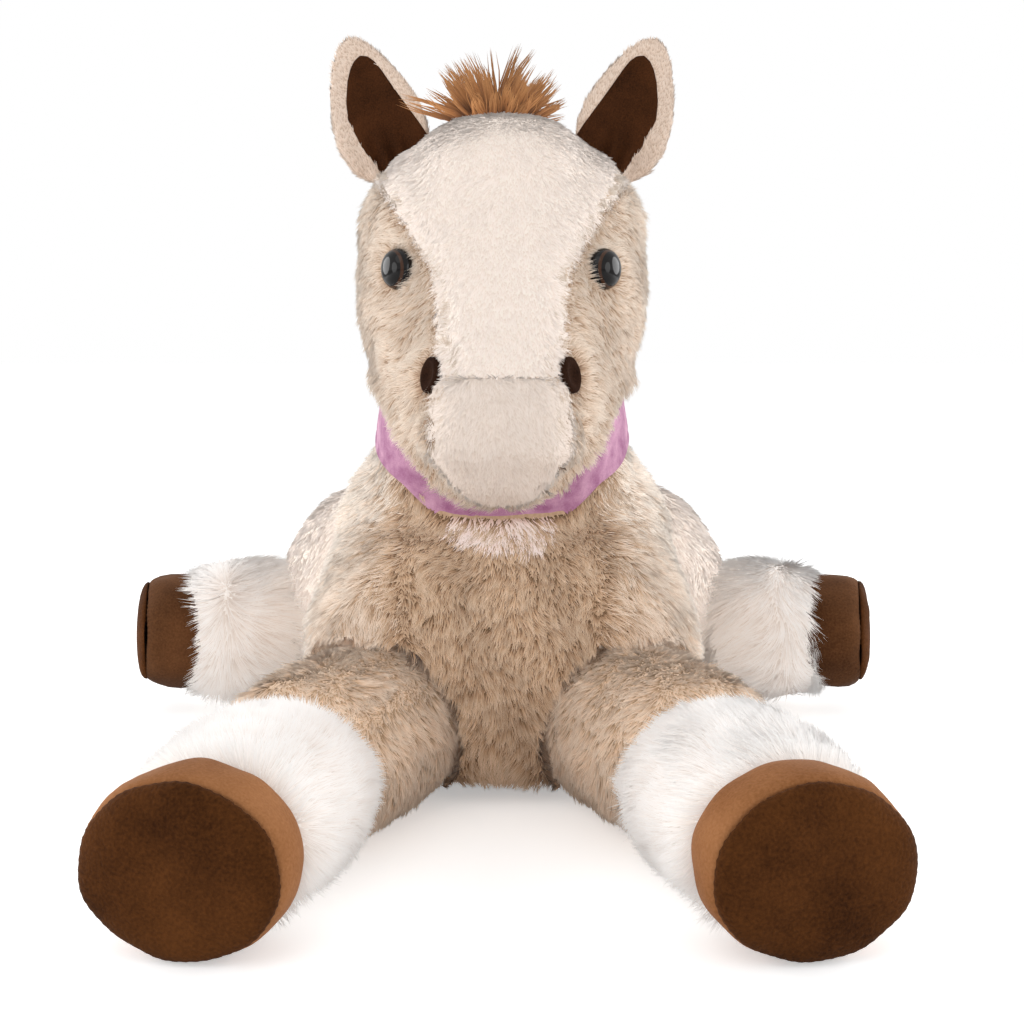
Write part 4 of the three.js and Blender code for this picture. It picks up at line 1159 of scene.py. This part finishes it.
piles = {
    "beige": {"perSquareMm": 1.7, "length": 8.5, "lengthSpread": 0.3, "width": 0.31, "lift": (46, 14), "droop": 0.12,
              "swirl": 0.45, "swirlSize": 34, "scatter": 0.32, "lockCount": 10, "lockPull": 0.5, "curl": 0.5, "rings": 1,
              "seed": 100},
    "leg": {"perSquareMm": 1.2, "length": 7.5, "lengthSpread": 0.3, "width": 0.4, "lift": (42, 14), "droop": 0.1,
            "swirl": 0.6, "swirlSize": 24, "scatter": 0.35, "lockCount": 9, "lockPull": 0.5, "curl": 0.5, "rings": 1,
            "seed": 200},
    "cream": {"perSquareMm": 1.25, "length": 3.8, "lengthSpread": 0.25, "width": 0.39, "lift": (26, 4), "droop": 0.03,
              "swirl": 0.35, "swirlSize": 30, "scatter": 0.3, "lockCount": 9, "lockPull": 0.25, "curl": 0.2, "rings": 1,
              "round": 0.2, "seed": 300},
    "haunch": {"perSquareMm": 0.36, "length": 7, "lengthSpread": 0.25, "width": 0.6, "lift": (30, 8), "droop": 0.08,
               "swirl": 0.4, "swirlSize": 34, "scatter": 0.3, "lockCount": 10, "lockPull": 0.35, "curl": 0.3, "rings": 1,
               "round": 0.2, "seed": 400},
    "white": {"perSquareMm": 1.38, "length": 12, "lengthSpread": 0.25, "width": 0.33, "lift": (26, 6), "droop": 0.04,
              "swirl": 0.3, "swirlSize": 30, "scatter": 0.16, "lockCount": 12, "lockPull": 0.3, "curl": 0.3, "rings": 1,
              "round": 0.2, "seed": 500},
    "forelock": {"perSquareMm": 1.1, "length": 20, "lengthSpread": 0.35, "width": 0.62, "lift": (78, 60), "droop": -0.1,
                 "swirl": 0.3, "swirlSize": 20, "scatter": 0.4, "lockCount": 12, "lockPull": 0.75, "curl": 1.2, "rings": 3,
                 "seed": 600},
    "hair": {"perSquareMm": 0.5, "length": 17, "lengthSpread": 0.3, "width": 0.6, "lift": (55, 20), "droop": 0.2,
             "swirl": 0.5, "swirlSize": 20, "scatter": 0.3, "lockCount": 10, "lockPull": 0.65, "curl": 1.0, "rings": 3,
             "seed": 700},
}


def pileOf(name, seed, **changes):
    return piles[name] | {"seed": piles[name]["seed"] + seed} | changes


def addFur(name, skinName, pile, comb, body, materialName, where=None, others=()):
    piece = growFur(name, skins[skinName] if isinstance(skinName, str) else skinName, pile, comb, where, others)
    dress(piece, body, materialName)
    # The pile casts no shadow and is unseen by diffuse rays, so its strands are lit as if it were not there; the shade
    # down in the pile is painted into its dark root colours
    piece.visible_shadow = False
    piece.visible_diffuse = False
    return piece


trees = {name: treeOf(piece) for name, piece in skins.items()}
trees |= {name: treeOf(piece) for name, piece in panels.items()}
trees |= {f"lining_{side}": treeOf(piece) for side, piece in linings.items()}
trees["ribbon"] = treeOf(collarRibbon)


def keepFromEyes(places, onlyEyes=False):
    keep = np.ones(len(places))
    for sign in (1, -1):
        for spot, azimuth, across, above in (((eye["spot"], eye["azimuth"], 8.0, 8.0),) if onlyEyes else ((eye["spot"], eye["azimuth"], 8.0, 8.0),
                                             (nostril["spot"], nostril["azimuth"], 4.4, 6.4),
                                             (mouthCorner["spot"], mouthCorner["azimuth"], 2.2, 4.5))):
            away = places / mm - np.array(spot) * (sign, 1, 1)
            turn = math.radians(azimuth)
            sideways = away @ np.array([math.cos(turn), sign * math.sin(turn), 0])
            keep[(np.hypot(sideways / across, away[:, 2] / above) < 1) & (away[:, 1] < 30)] = 0
    return keep


def outsideOfSocket(places, facing):
    # The head's hollow over the neck's ball grows no pile
    return (((places - neckTop) * facing).sum(1) > 0) & (fromNeck(places) > 62)


def belowRibbon(places):
    along = upNeck(places)
    off = (places - neckTop) / mm - np.outer(along, neckAxis)
    out = np.linalg.norm(off, axis=1)
    along = along - ribbonRise(-(off @ np.cross(neckAxis, (1, 0, 0))) / np.maximum(out, 1))
    return ((along < -14.8) | ((along < 4) & (out > 63.0))) * 1.0


def region(low, high, axis=1):
    return lambda places: ((places[:, axis] >= low * mm) & (places[:, axis] < high * mm)) * 1.0


bodyOthers = [trees[name] for name in ("frontLeg_left", "frontLeg_right", "haunch_left", "haunch_right", "tail",
                                       "maneNeck")]
def shareOf(label, places):
    # The chest's brown fades to pale flanks; the paleness is partly the fur's own colour and partly painted light, for
    # the brightness the sides catch at grazing angles
    out = np.abs(places[:, 0]) / mm
    first, second = smoothStep(out, 40, 74), smoothStep(out, 84, 120)
    back = smoothStep(places[:, 1] / mm, -58, -18)
    if label == "Rump":
        return 1
    return {"Chest": (1 - back) * (1 - first), "Side": (1 - back) * first * (1 - second),
            "Flank": (1 - back) * first * second, "Middle": back}[label]


for k, (label, low, high, dense, wide, look) in enumerate((
        ("Chest", -140, -18, 1.65, 0.31, "chestFur"), ("Side", -140, -18, 1.5, 0.33, "sideFur"),
        ("Flank", -140, -18, 1.4, 0.33, "flankFur"),
        ("Middle", -58, 50, 0.68, 0.46, "backFur"), ("Rump", 50, 260, 0.35, 0.66, "flankFur"))):
    def where(places, facing):
        return belowRibbon(places) * region(low, high)(places) * shareOf(label, places)

    addFur(f"bodyFur{label}", "body", pileOf("beige", k, perSquareMm=dense, width=wide, trim=bodyTrim, buried=1.2),
           combBody, "body", look, where, bodyOthers)


def combBib(places, facing):
    flow = np.stack([places[:, 0] / mm / 26, np.full(len(places), -0.35), np.full(len(places), -1.0)], axis=1)
    return flow


def onBib(places, facing):
    x, up = np.abs(places[:, 0]) / mm, -upNeck(places)
    edge = 24 - 0.004 * x ** 2 + 1.5 * waves(places, 14, 77)
    return belowRibbon(places) * smoothStep(edge - up, 0, 3) * smoothStep(27 - x, 0, 10) * (places[:, 1] < -60 * mm)


addFur("bibFur", "body", pileOf("beige", 30, length=9, perSquareMm=1.5, lift=(40, 12), width=0.4), combBib, "body",
       "bibFur", onBib)
def inShadedCreases(places, facing):
    # Round the nostrils and in the mouth's corners a darker pile with dark roots grows: painted shade for these hollows
    corner = np.full(len(places), 9.0)
    for sign in (1, -1):
        away = places / mm - np.array(mouthCorner["spot"]) * (sign, 1, 1)
        corner = np.minimum(corner, np.hypot(np.hypot(away[:, 0], away[:, 1]) / 3.5, away[:, 2] / 5.5))
    ring = smoothStep(-aroundNostrils(places), -7, -3) * (aroundNostrils(places) > 0.1) * (acrossFace(places) < 0)
    return np.maximum(ring * 0.8, smoothStep(-corner, -1.1, -0.7))


headOthers = [trees[name] for name in ("face", "muzzle", "ear_left", "ear_right", "forelock", "maneHead")]
for k, (side, low, high) in enumerate((("left", 0, 200), ("right", -200, 0))):
    addFur(f"headFur_{side}", "head", pileOf("beige", 10 + k, length=7, perSquareMm=1.45, lift=(42, 8), trim=nostrilTrim), combHead, "head",
           "cheekFur",
           lambda p, n: keepFromEyes(p) * region(low, high, 0)(p) * outsideOfSocket(p, n) * (1 - inShadedCreases(p, n)),
           headOthers)
def combOverSeam(places, facing):
    return np.stack([-np.sign(places[:, 0]), np.full(len(places), -0.4), np.full(len(places), -0.5)], axis=1)


def besideSeam(places, facing):
    inside = np.maximum(onFace(places), onMuzzle(places))
    return keepFromEyes(places) * (inside > -6) * (inside < 0.5) * (np.abs(places[:, 0]) > 12 * mm)


addFur("seamFur", "head", pileOf("beige", 40, length=5.5, perSquareMm=1.8, lift=(62, 25), lockCount=6), combOverSeam,
       "head", "seamFur", besideSeam, headOthers[2:])


def combToEye(places, facing):
    sign = np.where(places[:, 0] > 0, 1, -1)
    target = np.stack([sign * (eye["spot"][0] + 2), np.full(len(places), eye["spot"][1] + 0.0),
                       np.full(len(places), eye["spot"][2] - 3.0)], axis=1)
    return target - places / mm


def besideEye(places, facing):
    # The strip between the eye and the panel, and a little above the eye
    away = (np.abs(places[:, 0]) / mm - eye["spot"][0], places[:, 1] / mm - eye["spot"][1], places[:, 2] / mm - eye["spot"][2])
    far = np.sqrt(away[0] ** 2 + away[1] ** 2 + away[2] ** 2)
    inner = smoothStep(-away[0] + 0.45 * away[2], 2, 6)
    return inner * ((far > 8) & (far < 15) & (places[:, 1] < 0))


# Painted shade in the mouth's corners and round the nostrils, as a darker pile
addFur("creaseShadeFur", "head", pileOf("beige", 50, length=7, perSquareMm=1.7, lift=(48, 18), lockCount=6), combHead, "head",
       "creaseShadeFur", inShadedCreases, headOthers[2:])
addFur("browFur", "head", pileOf("beige", 20, length=6.5, perSquareMm=1.9, lift=(72, 25), lockCount=8, lockPull=0.4),
       combToEye, "head", "cheekFur", besideEye, headOthers)
addFur("faceFur", panels["face"], pileOf("cream", 0, trim=panelTrim), combPanel, "head", "creamFur",
       lambda p, n: keepFromEyes(p, True) * (onFace(p) > -1) * (n[:, 1] < 0.6) * (aroundNostrils(p) > 0.8), [trees["ear_left"], trees["ear_right"]])
addFur("muzzleFur", panels["muzzle"], pileOf("cream", 1, trim=panelTrim), combPanel, "head", "muzzleFur",
       lambda p, n: (onMuzzle(p) > -1) * (aroundNostrils(p) > 0.8), [trees["ribbon"]])
for k, side in enumerate(("left", "right")):
    sign = 1 if side == "left" else -1
    addFur(f"frontLegFur_{side}", f"frontLeg_{side}",
           pileOf("leg", k, buried=1, trim=lambda p: floorTrim(p) * nearTrim(p, [trees["body"]], 9)), combLeg("front", side, 0.5),
           f"front_leg_{side}", "legFur", None, [trees["body"], trees[f"frontCuff_{side}"]])
    addFur(f"haunchFur_{side}", f"haunch_{side}", pileOf("haunch", k, buried=1), combDown, f"hind_leg_{side}",
           "creamFur", None, [trees["body"], trees[f"hindCuff_{side}"]])
    addFur(f"frontCuffFur_{side}", f"frontCuff_{side}", pileOf("white", k, buried=1), combMuff("front", side, 108, 14),
           f"front_leg_{side}", "whiteFur", None, [trees[f"frontLeg_{side}"]])
    addFur(f"hindCuffFur_{side}", f"hindCuff_{side}", pileOf("white", 2 + k, length=14, perSquareMm=1.0, width=0.38, buried=1, trim=longInward(side)),
           combMuff("hind", side, 88, 20),
           f"hind_leg_{side}", "whiteFur", None, [trees[f"haunch_{side}"]])
    addFur(f"earFur_{side}", f"ear_{side}", pileOf("cream", 2 + k, length=3.6), combEar(side), f"ear_{side}",
           "earFur", None, [trees[f"lining_{side}"], trees["head"]])
addFur("forelockFur", "forelock", pileOf("forelock", 0), combFrom((-3, -7, 315)), "head", "caramelFur",
       lambda p, n: n[:, 2] > -0.2)
addFur("maneHeadFur", "maneHead", pileOf("hair", 0), combHair, "head", "caramelFur", None,
       [trees["head"]])
addFur("maneNeckFur", "maneNeck", pileOf("hair", 1), combHair, "body", "caramelFur", None,
       [trees["body"]])
addFur("tailFur", "tail", pileOf("hair", 2, length=22), combHair, "tail", "caramelFur")

buildStudio()
